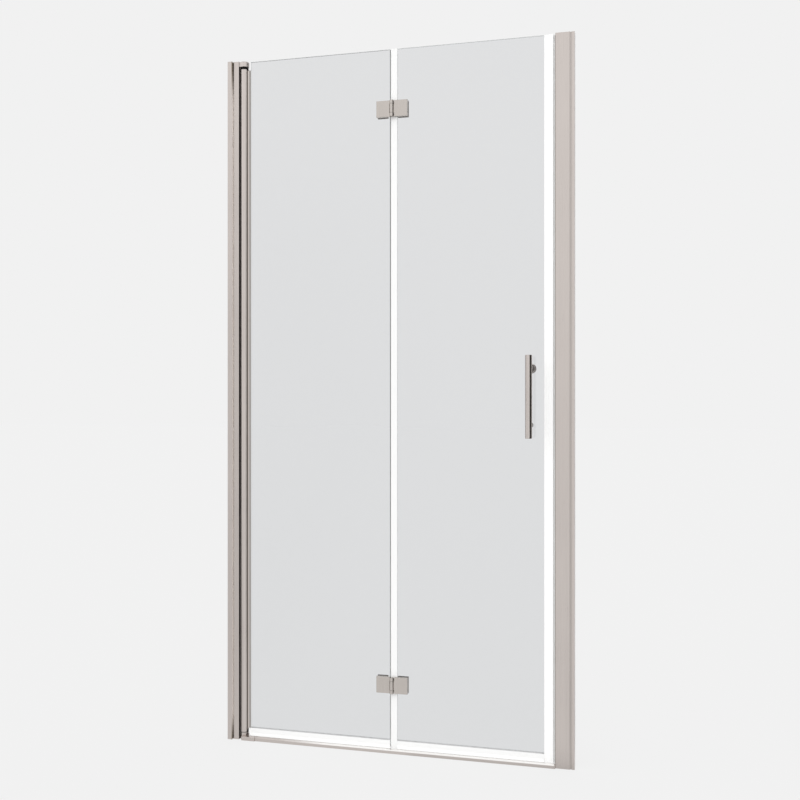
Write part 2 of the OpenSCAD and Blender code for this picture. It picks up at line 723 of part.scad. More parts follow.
// Drip seal section: two legs on the glass, a sill under it, a front lip and a rear lip
module drip_section() {
  face = glass_face + seal_t;
  foot = seal_foot;
  polygon([[-glass_face, glass_foot + drip_h], [-face, glass_foot + drip_h], [-face - 0.6, glass_foot],
           [-face - 3, foot], [-face - 1.6, foot], [-glass_face, glass_foot - 3],
           [glass_face, glass_foot - 3], [face + 1.2, foot], [face + 2.6, foot],
           [face, glass_foot], [face, glass_foot + drip_h], [glass_face, glass_foot + drip_h],
           [glass_face, glass_foot], [-glass_face, glass_foot]]);
}

module pivot_drip_seal() color(white) run(pivot_x + foot_notch, fold_x - edge_back) drip_section();

seal_reach = edge_on + seal_leg;
magnet_seal_x = pane_end_x - magnet_leg;

module fold_drip_seal() color(white) run(fold_x + seal_reach + 0.2, magnet_seal_x - 0.2) drip_section();

// Gap seal: channel on the fold pane's edge and a round hollow nose towards the pivot pane
module gap_seal() color(white) {
  nose_mid = -edge_back + nose_gap + nose_r;
  face = glass_face + seal_t;
  difference() {
    rise(seal_foot, glass_top) translate([fold_x, 0]) difference() {
      union() {
        translate([nose_mid, nose_r - face]) circle(nose_r);
        translate([nose_mid, -face]) square([seal_reach - nose_mid, seal_t]);
        translate([nose_mid + nose_r / 2, -face])
          square([edge_on - seal_t - nose_mid - nose_r / 2 + eps, seal_t + 1]);
        translate([edge_on - seal_t, -face]) square([seal_t, 2 * face]);
        translate([edge_on - seal_t, glass_face]) square([seal_leg + seal_t - 0.4, seal_t]);
      }
      intersection() {
        translate([nose_mid, nose_r - face]) circle(nose_r - seal_t + 0.3);
        translate([-nose_r * 3, -face - 1]) square([nose_r * 3 + edge_on - seal_t, 4 * nose_r]);
      }
    }
    for (c = hinge_zs)
      translate([fold_x + plate_inset - 0.4, -glass_face - seal_t - eps, c - plate_h / 2 - 0.3])
        cube([seal_leg + 6, seal_t + eps, plate_h + 0.6]);
  }
}

// Magnetic seal: channel on the free edge and a box that holds the magnet
module magnetic_seal() color(white) rise(seal_foot, glass_top) difference() {
  union() {
    band(magnet_seal_x, pane_end_x + 0.2 + eps, glass_t + 2 * seal_t);
    round_rect(pane_end_x + 0.2, magnet_face_x, magnet_box_d, corner_r);
  }
  band(magnet_seal_x - eps, pane_end_x, glass_t);
  band(pane_end_x + 0.2 + seal_t, magnet_face_x - 1, magnet_box_d - 2.4);
}

module seal_magnet() color(black) rise(seal_foot + 2, glass_top - 2)
  band(magnet_face_x - 5.2, magnet_face_x - 1.2, magnet_box_d - 3);

// Right wall channel: bead at the wall and two legs that the strike profile slides over
module right_wall_channel() color(nickel) difference() {
  leg_d = strike_d - 2 * strike_wall - 2 * slide_gap;
  rise(0, overall_h) difference() {
    union() {
      round_rect(right_x - bead_w, right_x, bead_d, corner_r);
      band(right_x - bead_w - strike_gap - leg_in, right_x - bead_w + corner_r, leg_d);
    }
    band(right_x - bead_w - strike_gap - leg_in - eps, right_x - 2 - inner_r, leg_d - 2 * leg_t);
    round_rect(right_x - bead_w, right_x - 2, leg_d - 2 * leg_t, inner_r);
    mirror([1, 0]) sealant_grooves(-right_x, bead_d / 4);
  }
  wall_holes(right_x - 2, 2);
  for (z = profile_screw_zs) pole_y(strike_screw_x, z, bracket_screw_d / 2 + run_clear, 0, strike_d);
}

// Hollow inside the strike profile, open towards the wall
strike_front = 2.2;
strike_web = 16;

module strike_hollow() {
  inner = strike_d - 2 * strike_wall;
  band(strike_x + strike_front, strike_x + strike_web, inner);
  round_rect(strike_x + strike_web + strike_wall, strike_x + 2 * strike_w, inner, inner_r);
}

module strike_profile() color(nickel) difference() {
  rise(0, overall_h) difference() {
    round_rect(strike_x, strike_x + strike_w, strike_d, corner_r);
    strike_hollow();
    band(strike_x - eps, strike_x + strike_front + eps, 5.4);
  }
  for (z = profile_screw_zs)
    pole_y(strike_screw_x, z, bracket_screw_d / 2 + run_clear, strike_d / 2 - strike_wall - eps, strike_d);
}

// Magnet strip on the strike profile, held by a foot in its slot
module strike_magnet_strip() color(clear_white) rise(seal_foot, overall_h - 3) {
  round_rect(strike_x - strip_w, strike_x, 11, 0.8);
  band(strike_x - eps, strike_x + 2.3 + eps, 4.8);
  band(strike_x + 2.3, strike_x + 4, 8);
}

// Plastic plug in the top of the strike profile
module strike_profile_cap() color(black)
  end_plug(strike_x + strike_front, strike_x + strike_web, strike_d - 2 * strike_wall);

// Front hinge plate in plan, on the side that X is negative
module front_plate_plan() difference() {
  translate([-plate_inset - plate_w, fold_y]) square([plate_w, plate_t]);
  translate([-plate_inset - plate_w - eps, fold_y - eps]) difference() {
    square(1);
    translate([1, 1]) circle(1);
  }
}

// Side view of a clamp plate run over its width: the outer face at y, the plate on its side s of it
module plate_side(y, s, w) run(-w - eps, eps) translate([y, 0]) mirror([s > 0 ? 0 : 1, 0]) polygon([
  [0, plate_edge - plate_h / 2], [plate_edge, -plate_h / 2], [plate_t, -plate_h / 2],
  [plate_t, plate_h / 2], [plate_edge, plate_h / 2], [0, plate_h / 2 - plate_edge]]);

// Knuckle and its arm, from z0 to z1 about the hinge's middle
module knuckle(z0, z1) {
  translate([0, fold_y, z0]) cylinder(h = z1 - z0, d = barrel_d);
  translate([-plate_inset, fold_y, z0]) cube([plate_inset, barrel_d / 2 - 0.5, z1 - z0]);
}

// Front plate with its knuckles for one leaf of a hinge: side -1 pivot leaf, 1 fold leaf
washer_gap = 0.6;

module hinge_leaf(side, c) color(nickel)
  translate([fold_x, 0, c]) mirror([side > 0 ? 1 : 0, 0, 0]) difference() {
  union() {
    intersection() {
      rise(-plate_h / 2, plate_h / 2) front_plate_plan();
      plate_side(fold_y, 1, plate_inset + plate_w);
    }
    if (side > 0) knuckle(-knuckle_h / 2, knuckle_h / 2);
    else for (s = [0, 1]) mirror([0, 0, s]) knuckle(knuckle_h / 2 + washer_gap, plate_h / 2);
  }
  translate([0, fold_y, -plate_h]) cylinder(h = 2 * plate_h, d = hinge_pin_d + 2 * run_clear);
  for (s = [-1, 1])
    pole_y(-plate_mid, s * screw_pitch / 2, clamp_bore_r, fold_y + thread_floor, -glass_face);
}

// Clamp screw: its head sinks into the back plate and its tip turns into the front plate
screw_r = screw_d / 2;
clamp_bore_r = screw_r + run_clear;
back_y = glass_face + clamp_gasket_t;
back_face = back_y + plate_t;
clamp_head_h = 2.4;
clamp_sink = 0.2;
thread_floor = 2.5;

module back_plate(side, c) color(nickel)
  translate([fold_x, 0, c]) mirror([side > 0 ? 1 : 0, 0, 0]) difference() {
  intersection() {
    rise(-plate_h / 2, plate_h / 2) translate([-2 * plate_inset - back_w, back_y]) polygon([
      [0, 0], [back_w, 0], [back_w, plate_t - plate_edge], [back_w - plate_edge, plate_t],
      [plate_edge, plate_t], [0, plate_t - plate_edge]]);
    plate_side(back_face, -1, 2 * plate_inset + back_w);
  }
  for (s = [-1, 1]) {
    pole_y(-plate_mid, s * screw_pitch / 2, clamp_bore_r, back_y - eps, back_face + eps);
    pole_y(-plate_mid, s * screw_pitch / 2, clamp_bore_r, back_face - clamp_head_h, back_face + eps,
           2 * screw_r + run_clear);
  }
}

// Gaskets on both faces of the glass under the clamp plates, with a sleeve round each screw
sleeve_bore_r = screw_r + 0.1;
gasket_set = 1;

module clamp_gaskets(side) color(gasket_grey) for (c = hinge_zs)
  translate([fold_x, 0, c]) mirror([side > 0 ? 1 : 0, 0, 0]) difference() {
    union() {
      translate([-plate_inset - plate_w + gasket_set, -glass_face - clamp_gasket_t, -plate_h / 2 + gasket_set])
        cube([plate_w - 2 * gasket_set, clamp_gasket_t, plate_h - 2 * gasket_set]);
      translate([-2 * plate_inset - back_w + gasket_set, glass_face, -plate_h / 2 + gasket_set])
        cube([back_w - 2 * gasket_set, clamp_gasket_t, plate_h - 2 * gasket_set]);
      for (s = [-1, 1])
        pole_y(-plate_mid, s * screw_pitch / 2, glass_hole_r - push_fit, -glass_face - eps, glass_face + eps);
    }
    for (s = [-1, 1]) pole_y(-plate_mid, s * screw_pitch / 2, sleeve_bore_r, -glass_t, glass_t);
  }

module clamp_screws(side) color(steel) at_clamp_screws(side) difference() {
  union() {
    pole_y(0, 0, screw_r, fold_y + thread_floor + 0.5, back_face - clamp_head_h + eps);
    pole_y(0, 0, screw_r, back_face - clamp_head_h, back_face - clamp_sink,
           (2 - clamp_sink / clamp_head_h) * screw_r);
  }
  socket_y(0, 0, screw_r + 0.5, back_face - clamp_sink, clamp_head_h - 0.4);
}

module hinge_pin(c) color(steel)
  translate([fold_x, fold_y, c - plate_h / 2 + 0.3]) pin(plate_h - 0.6, hinge_pin_d / 2, pin_cut);

module knuckle_washers() color(black) for (c = hinge_zs) for (s = [-1, 1])
  translate([fold_x, fold_y, c + s * (knuckle_h / 2 + washer_gap / 2) - washer_gap / 3]) difference() {
    cylinder(h = washer_gap * 2 / 3, d = barrel_d - 1);
    translate([0, 0, -1]) cylinder(h = 3, d = hinge_pin_d + 2 * run_clear);
  }

module upper_hinge_pivot_leaf() hinge_leaf(-1, hinge_zs[1]);
module lower_hinge_pivot_leaf() hinge_leaf(-1, hinge_zs[0]);
module upper_hinge_fold_leaf() hinge_leaf(1, hinge_zs[1]);
module lower_hinge_fold_leaf() hinge_leaf(1, hinge_zs[0]);
module upper_pivot_back_plate() back_plate(-1, hinge_zs[1]);
module lower_pivot_back_plate() back_plate(-1, hinge_zs[0]);
module upper_fold_back_plate() back_plate(1, hinge_zs[1]);
module lower_fold_back_plate() back_plate(1, hinge_zs[0]);

// Handle bar with chamfered ends and a socket for each post
post_in = 3.2;

module handle_bar() color(nickel) difference() {
  translate([handle_x, bar_y, handle_z - bar_l / 2]) {
    cylinder(h = 1, d1 = bar_d - 2, d2 = bar_d);
    translate([0, 0, 1 - eps]) cylinder(h = bar_l - 2 + 2 * eps, d = bar_d);
    translate([0, 0, bar_l - 1]) cylinder(h = 1, d1 = bar_d, d2 = bar_d - 2);
  }
  for (z = post_zs) pole_y(handle_x, z, post_d / 2 + run_clear, bar_y + bar_d / 2 - post_in, bar_y + bar_d);
}

module handle_post(z) color(nickel) difference() {
  pole_y(handle_x, z, post_d / 2, bar_y + bar_d / 2 - post_in, -glass_face - washer_t);
  pole_y(handle_x, z, screw_d / 2 + run_clear, -glass_face - washer_t - 12, -glass_face);
}

module upper_handle_post() handle_post(post_zs[1]);
module lower_handle_post() handle_post(post_zs[0]);

// Clear washers on both faces of the glass, joined by a sleeve through the hole
module handle_washers() color(clear_white) for (z = post_zs) difference() {
  union() {
    pole_y(handle_x, z, post_d / 2 + 1, -glass_face - washer_t, -glass_face);
    pole_y(handle_x, z, glass_hole_r - 0.2, -glass_face - eps, glass_face + eps);
    pole_y(handle_x, z, post_d / 2 + 1, glass_face, glass_face + washer_t);
  }
  pole_y(handle_x, z, screw_d / 2 + 0.1, -glass_t, glass_t);
}

module handle_studs() color(steel) for (z = post_zs)
  pole_y(handle_x, z, screw_d / 2, -glass_face - washer_t - 11, glass_face + washer_t + 4);

// Turned knob on the shower side of the upper post
module inner_knob() color(nickel) translate([handle_x, glass_face + washer_t, post_zs[1]]) rotate([-90, 0, 0])
  difference() {
    rotate_extrude() polygon([
      [0, 0], [post_d / 2, 0], [post_d / 2, 4], [post_d / 2 - 1, 7], [post_d / 2 - 0.6, 9.5],
      [knob_d / 2 - 2.4, 12.6], [knob_d / 2 - 0.6, 14.2], [knob_d / 2, 16], [knob_d / 2, knob_l - 2.5],
      [knob_d / 2 - 0.7, knob_l - 0.8], [knob_d / 2 - 2.2, knob_l], [0, knob_l]]);
    translate([0, 0, -eps]) cylinder(h = 8, d = screw_d + 2 * run_clear);
  }

// Low domed nut on the shower side of the lower post
module lower_cap_nut() color(nickel)
  translate([handle_x, glass_face + washer_t, post_zs[0]]) rotate([-90, 0, 0]) difference() {
    union() {
      cylinder(h = 4, d = post_d + 2);
      translate([0, 0, 4 - eps]) cylinder(h = 1.6, d1 = post_d + 2, d2 = post_d - 1);
    }
    translate([0, 0, -eps]) cylinder(h = 4.6, d = screw_d + 2 * run_clear);
  }

left_wall_channel();
left_jamb_profile();
left_profile_cap();
profile_screws();
screw_cover_caps();
top_pivot_cap();
top_pivot_pin();
pivot_bracket_screws();
bottom_pivot_bracket();
pivot_sleeve();
bottom_pivot_pin();
fixed_cam();
threshold_rail();
rail_end_cap();
right_wall_channel();
strike_profile();
strike_magnet_strip();
strike_profile_cap();
lift_bush();
pivot_tube_profile();
tube_top_plug();
leaf_cam();
front_glass_gasket();
rear_glass_gasket();
pivot_glass();
pivot_drip_seal();
upper_hinge_pivot_leaf();
lower_hinge_pivot_leaf();
upper_pivot_back_plate();
lower_pivot_back_plate();
clamp_gaskets(-1);  // pivot_clamp_gaskets
clamp_screws(-1);  // pivot_clamp_screws
hinge_pin(hinge_zs[1]);  // upper_hinge_pin
hinge_pin(hinge_zs[0]);  // lower_hinge_pin
knuckle_washers();
fold_glass();
gap_seal();
magnetic_seal();
seal_magnet();
fold_drip_seal();
upper_hinge_fold_leaf();
lower_hinge_fold_leaf();
upper_fold_back_plate();
lower_fold_back_plate();
clamp_gaskets(1);  // fold_clamp_gaskets
clamp_screws(1);  // fold_clamp_screws
handle_bar();
upper_handle_post();
lower_handle_post();
handle_washers();
handle_studs();
inner_knob();
lower_cap_nut();
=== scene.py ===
"""Studio scene of a bi-fold pivot shower door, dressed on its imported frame.

The axes are the frame's: X runs along the door from the pivot wall to the strike wall,
Y into the shower and Z up, all in metres. Sizes are written in millimetres through mm().
"""

from __future__ import annotations

import json
import logging
import math
from dataclasses import dataclass, replace
from enum import Enum
from typing import Callable, ClassVar, Dict, List, Optional, Sequence, Tuple, Union

import bmesh
import bpy
from mathutils import Matrix, Vector

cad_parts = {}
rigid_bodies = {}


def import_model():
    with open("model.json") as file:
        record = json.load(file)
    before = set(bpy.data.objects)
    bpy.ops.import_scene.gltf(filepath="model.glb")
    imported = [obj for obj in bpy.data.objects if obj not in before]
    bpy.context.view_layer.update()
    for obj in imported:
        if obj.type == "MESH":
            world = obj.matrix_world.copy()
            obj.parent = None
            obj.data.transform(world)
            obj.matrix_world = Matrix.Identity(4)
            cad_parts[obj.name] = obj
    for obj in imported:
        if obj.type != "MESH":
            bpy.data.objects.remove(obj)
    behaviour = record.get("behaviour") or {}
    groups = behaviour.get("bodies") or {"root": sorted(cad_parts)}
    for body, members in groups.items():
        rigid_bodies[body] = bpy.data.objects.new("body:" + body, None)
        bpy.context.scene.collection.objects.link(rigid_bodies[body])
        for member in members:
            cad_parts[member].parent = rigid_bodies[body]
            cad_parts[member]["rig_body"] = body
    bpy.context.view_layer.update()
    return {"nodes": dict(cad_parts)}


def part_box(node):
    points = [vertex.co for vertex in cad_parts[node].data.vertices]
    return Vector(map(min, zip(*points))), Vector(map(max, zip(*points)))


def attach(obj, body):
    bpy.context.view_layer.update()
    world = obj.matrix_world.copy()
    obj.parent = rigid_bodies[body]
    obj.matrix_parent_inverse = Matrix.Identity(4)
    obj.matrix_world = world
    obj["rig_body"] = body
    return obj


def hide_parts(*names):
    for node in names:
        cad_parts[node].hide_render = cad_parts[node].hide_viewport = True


LOG = logging.getLogger("shower_door")

Colour = Tuple[float, float, float]
Span = Tuple[float, float]
Window = Tuple[float, float, float]  # where it starts, where it ends and how soft it is
Number = Union["Signal", float]
Outline = List[Tuple[float, float]]
SocketKey = Union[str, int]

WHITE: Colour = (1.0, 1.0, 1.0)


def mm(length: float) -> float:
    """Millimetres as metres."""
    return length / 1000


class Slot(Enum):
    """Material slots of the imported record."""

    PROFILE = "nickel_profile"
    FITTING = "nickel_fitting"
    STEEL = "plain_steel"
    NYLON = "black_nylon"
    SEAL = "white_seal"
    CLEAR = "clear_plastic"
    GASKET = "grey_gasket"
    MAGNET = "magnet_rubber"
    GLASS = "clear_glass"


class Grain(Enum):
    """Direction that brushed or drawn lines follow, as stretch along X, Y and Z."""

    X = (0.012, 1.0, 1.0)
    Y = (1.0, 0.012, 1.0)
    Z = (1.0, 1.0, 0.012)


# ---------------------------------------------------------------- shader arithmetic


class Signal:
    """A node output that takes part in ordinary arithmetic."""

    def __init__(self, bench: "Bench", socket: bpy.types.NodeSocket) -> None:
        """Keeps the socket and the bench that its nodes are added to."""
        self.bench = bench
        self.socket = socket

    def _with(self, operation: str, left: Number, right: Number) -> "Signal":
        """Adds the Math node of one operation."""
        return self.bench.node("ShaderNodeMath", {"operation": operation}, {0: left, 1: right})

    def __add__(self, other: Number) -> "Signal":
        """Sum."""
        return self._with("ADD", self, other)

    def __sub__(self, other: Number) -> "Signal":
        """Difference."""
        return self._with("SUBTRACT", self, other)

    def __rsub__(self, other: Number) -> "Signal":
        """Difference from a plain number."""
        return self._with("SUBTRACT", other, self)

    def __mul__(self, other: Number) -> "Signal":
        """Product."""
        return self._with("MULTIPLY", self, other)

    def __truediv__(self, other: Number) -> "Signal":
        """Quotient."""
        return self._with("DIVIDE", self, other)

    __radd__ = __add__
    __rmul__ = __mul__


class Bench:
    """A node tree that finishes are put together on."""

    def __init__(self, tree: bpy.types.NodeTree) -> None:
        """Clears the tree."""
        tree.nodes.clear()
        self.tree = tree

    def node(
        self,
        kind: str,
        settings: Optional[Dict[str, object]] = None,
        sockets: Optional[Dict[SocketKey, object]] = None,
        output: SocketKey = 0,
    ) -> Signal:
        """Adds one node.

        Args:
            kind: The node's type.
            settings: Its own settings, put in place before its sockets are used.
            sockets: Values, or signals to link, by socket name or place.
            output: The output that is wanted.

        Returns:
            That output.
        """
        made = self.tree.nodes.new(kind)
        for key, value in (settings or {}).items():
            setattr(made, key, value)
        for key, value in (sockets or {}).items():
            target = made.inputs[key]
            if isinstance(value, Signal):
                self.tree.links.new(value.socket, target)
            elif isinstance(target, bpy.types.NodeSocketColor) and len(value) == 3:
                target.default_value = (*value, 1.0)
            else:
                target.default_value = value
        return Signal(self, made.outputs[output])

    def place(self, stretch: Sequence[float] = (1.0, 1.0, 1.0)) -> Signal:
        """Object coordinates, stretched along the axes."""
        where = self.node("ShaderNodeTexCoord", output="Object")
        return self.node("ShaderNodeMapping", sockets={"Vector": where, "Scale": tuple(stretch)})

    def axis(self, vector: Signal, name: str) -> Signal:
        """One coordinate of a vector."""
        return self.node("ShaderNodeSeparateXYZ", sockets={"Vector": vector}, output=name)

    def magnitude(self, value: Signal) -> Signal:
        """A value without its sign."""
        return self.node("ShaderNodeMath", {"operation": "ABSOLUTE"}, {0: value})

    def ray(self, kind: str) -> Signal:
        """One for rays of a kind and nought for others."""
        return self.node("ShaderNodeLightPath", output=f"Is {kind} Ray")

    def noise(
        self, place: Signal, scale: float, detail: float = 2.0, rough: float = 0.5
    ) -> Signal:
        """Soft random values round 0.5 at a place."""
        return self.node(
            "ShaderNodeTexNoise",
            sockets={"Vector": place, "Scale": scale, "Detail": detail, "Roughness": rough},
        )

    def between(self, value: Signal, low: float, high: float, to: Span = (0.0, 1.0)) -> Signal:
        """A smooth passage of a value from one range to another.

        Args:
            value: What is read.
            low: Where the passage starts.
            high: Where it ends.
            to: What it gives at its start and end.

        Returns:
            The value after the passage.
        """
        return self.node(
            "ShaderNodeMapRange",
            {"interpolation_type": "SMOOTHSTEP"},
            {"Value": value, "From Min": low, "From Max": high, "To Min": to[0], "To Max": to[1]},
        )

    def within(self, value: Signal, low: float, high: float, soft: float) -> Signal:
        """One between two limits and nought beyond them, with soft ends."""
        rise = self.between(value, low - soft, low + soft)
        return rise * self.between(value, high + soft, high - soft)

    def tint(
        self, mask: Number, first: Union[Signal, Colour], second: Union[Signal, Colour]
    ) -> Signal:
        """A colour between two, by a mask."""
        return self.node(
            "ShaderNodeMix", {"data_type": "RGBA"}, {0: mask, 6: first, 7: second}, output=2
        )

    def relief(self, height: Signal, depth: float, strength: float = 0.3) -> Signal:
        """A bumped normal from a height between 0 and 1, with its depth in metres."""
        return self.node(
            "ShaderNodeBump", sockets={"Height": height, "Strength": strength, "Distance": depth}
        )

    def principled(self, sockets: Dict[SocketKey, object]) -> Signal:
        """The surface shader with its sockets filled."""
        return self.node("ShaderNodeBsdfPrincipled", sockets=sockets)

    def close(self, surface: Signal, output: str = "ShaderNodeOutputMaterial") -> None:
        """Ends the tree with a shader linked to an output node."""
        end = self.tree.nodes.new(output)
        self.tree.links.new(surface.socket, end.inputs["Surface"])


def new_material(name: str) -> Tuple[bpy.types.Material, Bench]:
    """Starts a material.

    Args:
        name: Its name.

    Returns:
        The material and the bench of its tree.
    """
    material = bpy.data.materials.new(name)
    material.use_nodes = True
    return material, Bench(material.node_tree)


# ------------------------------------------------------------------------- finishes


@dataclass(frozen=True)
class PaintedTone:
    """A place on a piece where painted light and shade go into its colour.

    It lies between two places along X, two distances from the glass plane and two heights,
    and reaches past the door where these aren't given. A matt painted one loses its metal
    shine, so that its painted colour shows as it is.
    """

    colour: Colour
    start: float = -1.0
    end: float = 1.0
    inner: float = -1.0
    outer: float = 1.0
    low: float = -1.0
    high: float = 3.0
    soft: float = mm(0.15)
    fade: float = mm(0.15)
    matt_painted: bool = False

    def at(self, x: float = 0.0, y: float = 0.0, z: float = 0.0) -> "PaintedTone":
        """Puts a painted tone in place whose limits are measured from an edge of its piece.

        Args:
            x: Where that edge is along X.
            y: Its distance from the glass plane.
            z: Its height.

        Returns:
            The painted tone in the door's own axes.
        """
        return replace(
            self,
            start=self.start + x,
            end=self.end + x,
            inner=self.inner + y,
            outer=self.outer + y,
            low=self.low + z,
            high=self.high + z,
        )

    def mask(self, bench: Bench) -> Signal:
        """Marks where the light or shade is painted.

        Args:
            bench: Where the nodes go.

        Returns:
            One inside the painted place and nought outside it.
        """
        place = bench.place()
        away = bench.magnitude(bench.axis(place, "Y"))
        inside = bench.within(bench.axis(place, "X"), self.start, self.end, self.soft)
        inside = inside * bench.within(away, self.inner, self.outer, self.soft)
        return inside * bench.within(bench.axis(place, "Z"), self.low, self.high, self.fade)


@dataclass(frozen=True)
class BrushedNickel:
    """Satin nickel plate over drawn or brushed metal."""

    name: str
    grain: Grain
    light: Colour = (0.64, 0.585, 0.553)
    dark: Colour = (0.57, 0.52, 0.492)
    tone_range: Span = (0.3, 0.7)
    roughness: float = 0.3
    line_gloss: float = 0.16
    cloud_gloss: float = 0.08
    line_scale: float = 1500.0
    lines_per_band: float = 9.0
    cloud_scale: float = 5.0
    line_depth: float = mm(0.012)
    line_relief: float = 0.35
    painted_tones: Tuple[PaintedTone, ...] = ()

    def build(self) -> bpy.types.Material:
        """Makes lines along the grain, slow changes of tone, and painted light and shade.

        Returns:
            The material.
        """
        material, bench = new_material(self.name)
        drawn = bench.place(self.grain.value)
        lines = bench.noise(drawn, self.line_scale, detail=3.0, rough=0.65)
        bands = bench.noise(drawn, self.line_scale / self.lines_per_band)
        cloud = bench.noise(bench.place(), self.cloud_scale)
        tone = 0.5 * lines + 0.25 * bands + 0.25 * cloud
        gloss = self.line_gloss * (lines - 0.5) + self.cloud_gloss * (cloud - 0.5)
        colour = bench.tint(bench.between(tone, *self.tone_range), self.dark, self.light)
        plated: Number = 1.0
        for recess in self.painted_tones:
            mask = recess.mask(bench)
            colour = bench.tint(mask, colour, recess.colour)
            # matt painted places lose their metal shine, so that the painted light or shade shows
            # plainly
            if recess.matt_painted:
                plated = plated * (1.0 - mask)
        bench.close(
            bench.principled(
                {
                    "Base Color": colour,
                    "Metallic": plated,
                    "Roughness": self.roughness + gloss,
                    "Normal": bench.relief(lines, self.line_depth, self.line_relief),
                }
            )
        )
        return material


@dataclass(frozen=True)
class PlainSteel:
    """Turned stainless steel of screws and pins."""

    name: str
    grain: Grain
    colour: Colour = (0.6, 0.59, 0.58)
    worn: Colour = (0.5, 0.49, 0.48)
    roughness: float = 0.24
    mark_gloss: float = 0.2
    mark_scale: float = 2600.0
    mark_depth: float = mm(0.01)
    stain_scale: float = 160.0

    def build(self) -> bpy.types.Material:
        """Makes fine turning marks across the grain, and faint stains.

        Returns:
            The material.
        """
        material, bench = new_material(self.name)
        marks = bench.noise(bench.place(self.grain.value), self.mark_scale)
        stain = bench.noise(bench.place(), self.stain_scale, detail=3.0)
        bench.close(
            bench.principled(
                {
                    "Base Color": bench.tint(stain, self.worn, self.colour),
                    "Metallic": 1.0,
                    "Roughness": self.roughness + self.mark_gloss * (marks - 0.5),
                    "Normal": bench.relief(marks, self.mark_depth),
                }
            )
        )
        return material


@dataclass(frozen=True)
class Moulded:
    """Moulded or extruded plastic and rubber."""

    name: str
    colour: Colour
    deep: Colour
    roughness: float
    spread: float = 0.12
    grain: Tuple[float, float, float] = (1.0, 1.0, 1.0)
    scale: float = 900.0
    depth: float = mm(0.02)
    patch_scale: float = 22.0
    skin_share: float = 0.35
    see_through: float = 0.0
    coat: float = 0.0
    specular: float = 0.5
    # glow: the part gives off light in its own colour though it is no lamp, a painted glow
    glow: float = 0.0
    painted_tones: Tuple[PaintedTone, ...] = ()

    def build(self) -> bpy.types.Material:
        """Makes a fine skin texture, uneven gloss, painted light and shade, and any painted glow.

        Returns:
            The material.
        """
        material, bench = new_material(self.name)
        skin = bench.noise(bench.place(self.grain), self.scale)
        patch = bench.noise(bench.place(), self.patch_scale, detail=3.0)
        shade = self.skin_share * skin + (1.0 - self.skin_share) * patch
        colour = bench.tint(shade, self.deep, self.colour)
        for recess in self.painted_tones:
            colour = bench.tint(recess.mask(bench), colour, recess.colour)
        bench.close(
            bench.principled(
                {
                    "Base Color": colour,
                    "Specular IOR Level": self.specular,
                    "Roughness": self.roughness + self.spread * (patch - 0.5),
                    "Transmission Weight": self.see_through,
                    "Coat Weight": self.coat,
                    "Emission Color": colour,
                    "Emission Strength": self.glow,
                    "Normal": bench.relief(skin, self.depth),
                }
            )
        )
        return material


@dataclass(frozen=True)
class ClearGlass:
    """Toughened glass: nearly clear faces, or greener polished edges."""

    name: str
    # top and foot colours: darker towards the foot, a painted shade
    top: Colour
    foot: Colour
    roughness: float
    spread: float
    height: float = 1.95
    film_scale: float = 7.0
    film_range: Span = (0.5, 0.75)
    bending: float = 1.5

    def build(self) -> bpy.types.Material:
        """Makes glass a little darker towards the foot, a painted shade.

        Returns:
            The material.
        """
        material, bench = new_material(self.name)
        place = bench.place()
        film = bench.noise(place, self.film_scale, detail=4.0, rough=0.6)
        # painted shade: the colour darkens from the top down to the foot
        depth = bench.between(bench.axis(place, "Z"), self.height, 0.0)
        haze = self.spread * bench.between(film, *self.film_range)
        bench.close(
            bench.principled(
                {
                    "Base Color": bench.tint(depth, self.top, self.foot),
                    "Roughness": self.roughness + haze,
                    "IOR": self.bending,
                    "Transmission Weight": 1.0,
                }
            )
        )
        return material


# the foot colours are darker than the top ones, a painted shade
GLASS_FACE = ClearGlass("glass_face", (0.83, 0.836, 0.845), (0.802, 0.81, 0.819), 0.0, 0.012)
GLASS_EDGE = ClearGlass("glass_edge", (0.72, 0.79, 0.77), (0.66, 0.73, 0.715), 0.12, 0.1)

PROFILE_ROUGHNESS = 0.3
FITTING_ROUGHNESS = 0.25
HINGE_PLATE = BrushedNickel(
    "hinge_plate_nickel",
    Grain.Z,
    light=(0.585, 0.54, 0.505),
    dark=(0.525, 0.485, 0.453),
    roughness=FITTING_ROUGHNESS,
)

EXTRUDED = (1.0, 1.0, 0.05)
PLASTICS: Dict[Slot, Moulded] = {
    Slot.NYLON: Moulded(
        "black_nylon_moulded", (0.012, 0.011, 0.01), (0.007, 0.007, 0.006), 0.55, specular=0.12
    ),
    Slot.SEAL: Moulded(
        "white_seal_extruded", (0.95, 0.95, 0.945), (0.92, 0.92, 0.915), 0.34,
        grain=EXTRUDED, scale=420.0, coat=0.2,
    ),
    Slot.CLEAR: Moulded(
        "clear_strip_extruded", (0.9, 0.9, 0.89), (0.86, 0.86, 0.85), 0.3,
        grain=EXTRUDED, scale=420.0, see_through=0.2,
    ),
    Slot.GASKET: Moulded(
        "grey_gasket_rubber", (0.4, 0.375, 0.355), (0.34, 0.32, 0.3), 0.55,
        grain=(1.0, 1.0, 0.08), scale=600.0,
    ),
    Slot.MAGNET: Moulded("magnet_rubber_strip", (0.07, 0.068, 0.066), (0.05, 0.05, 0.05), 0.6),
}


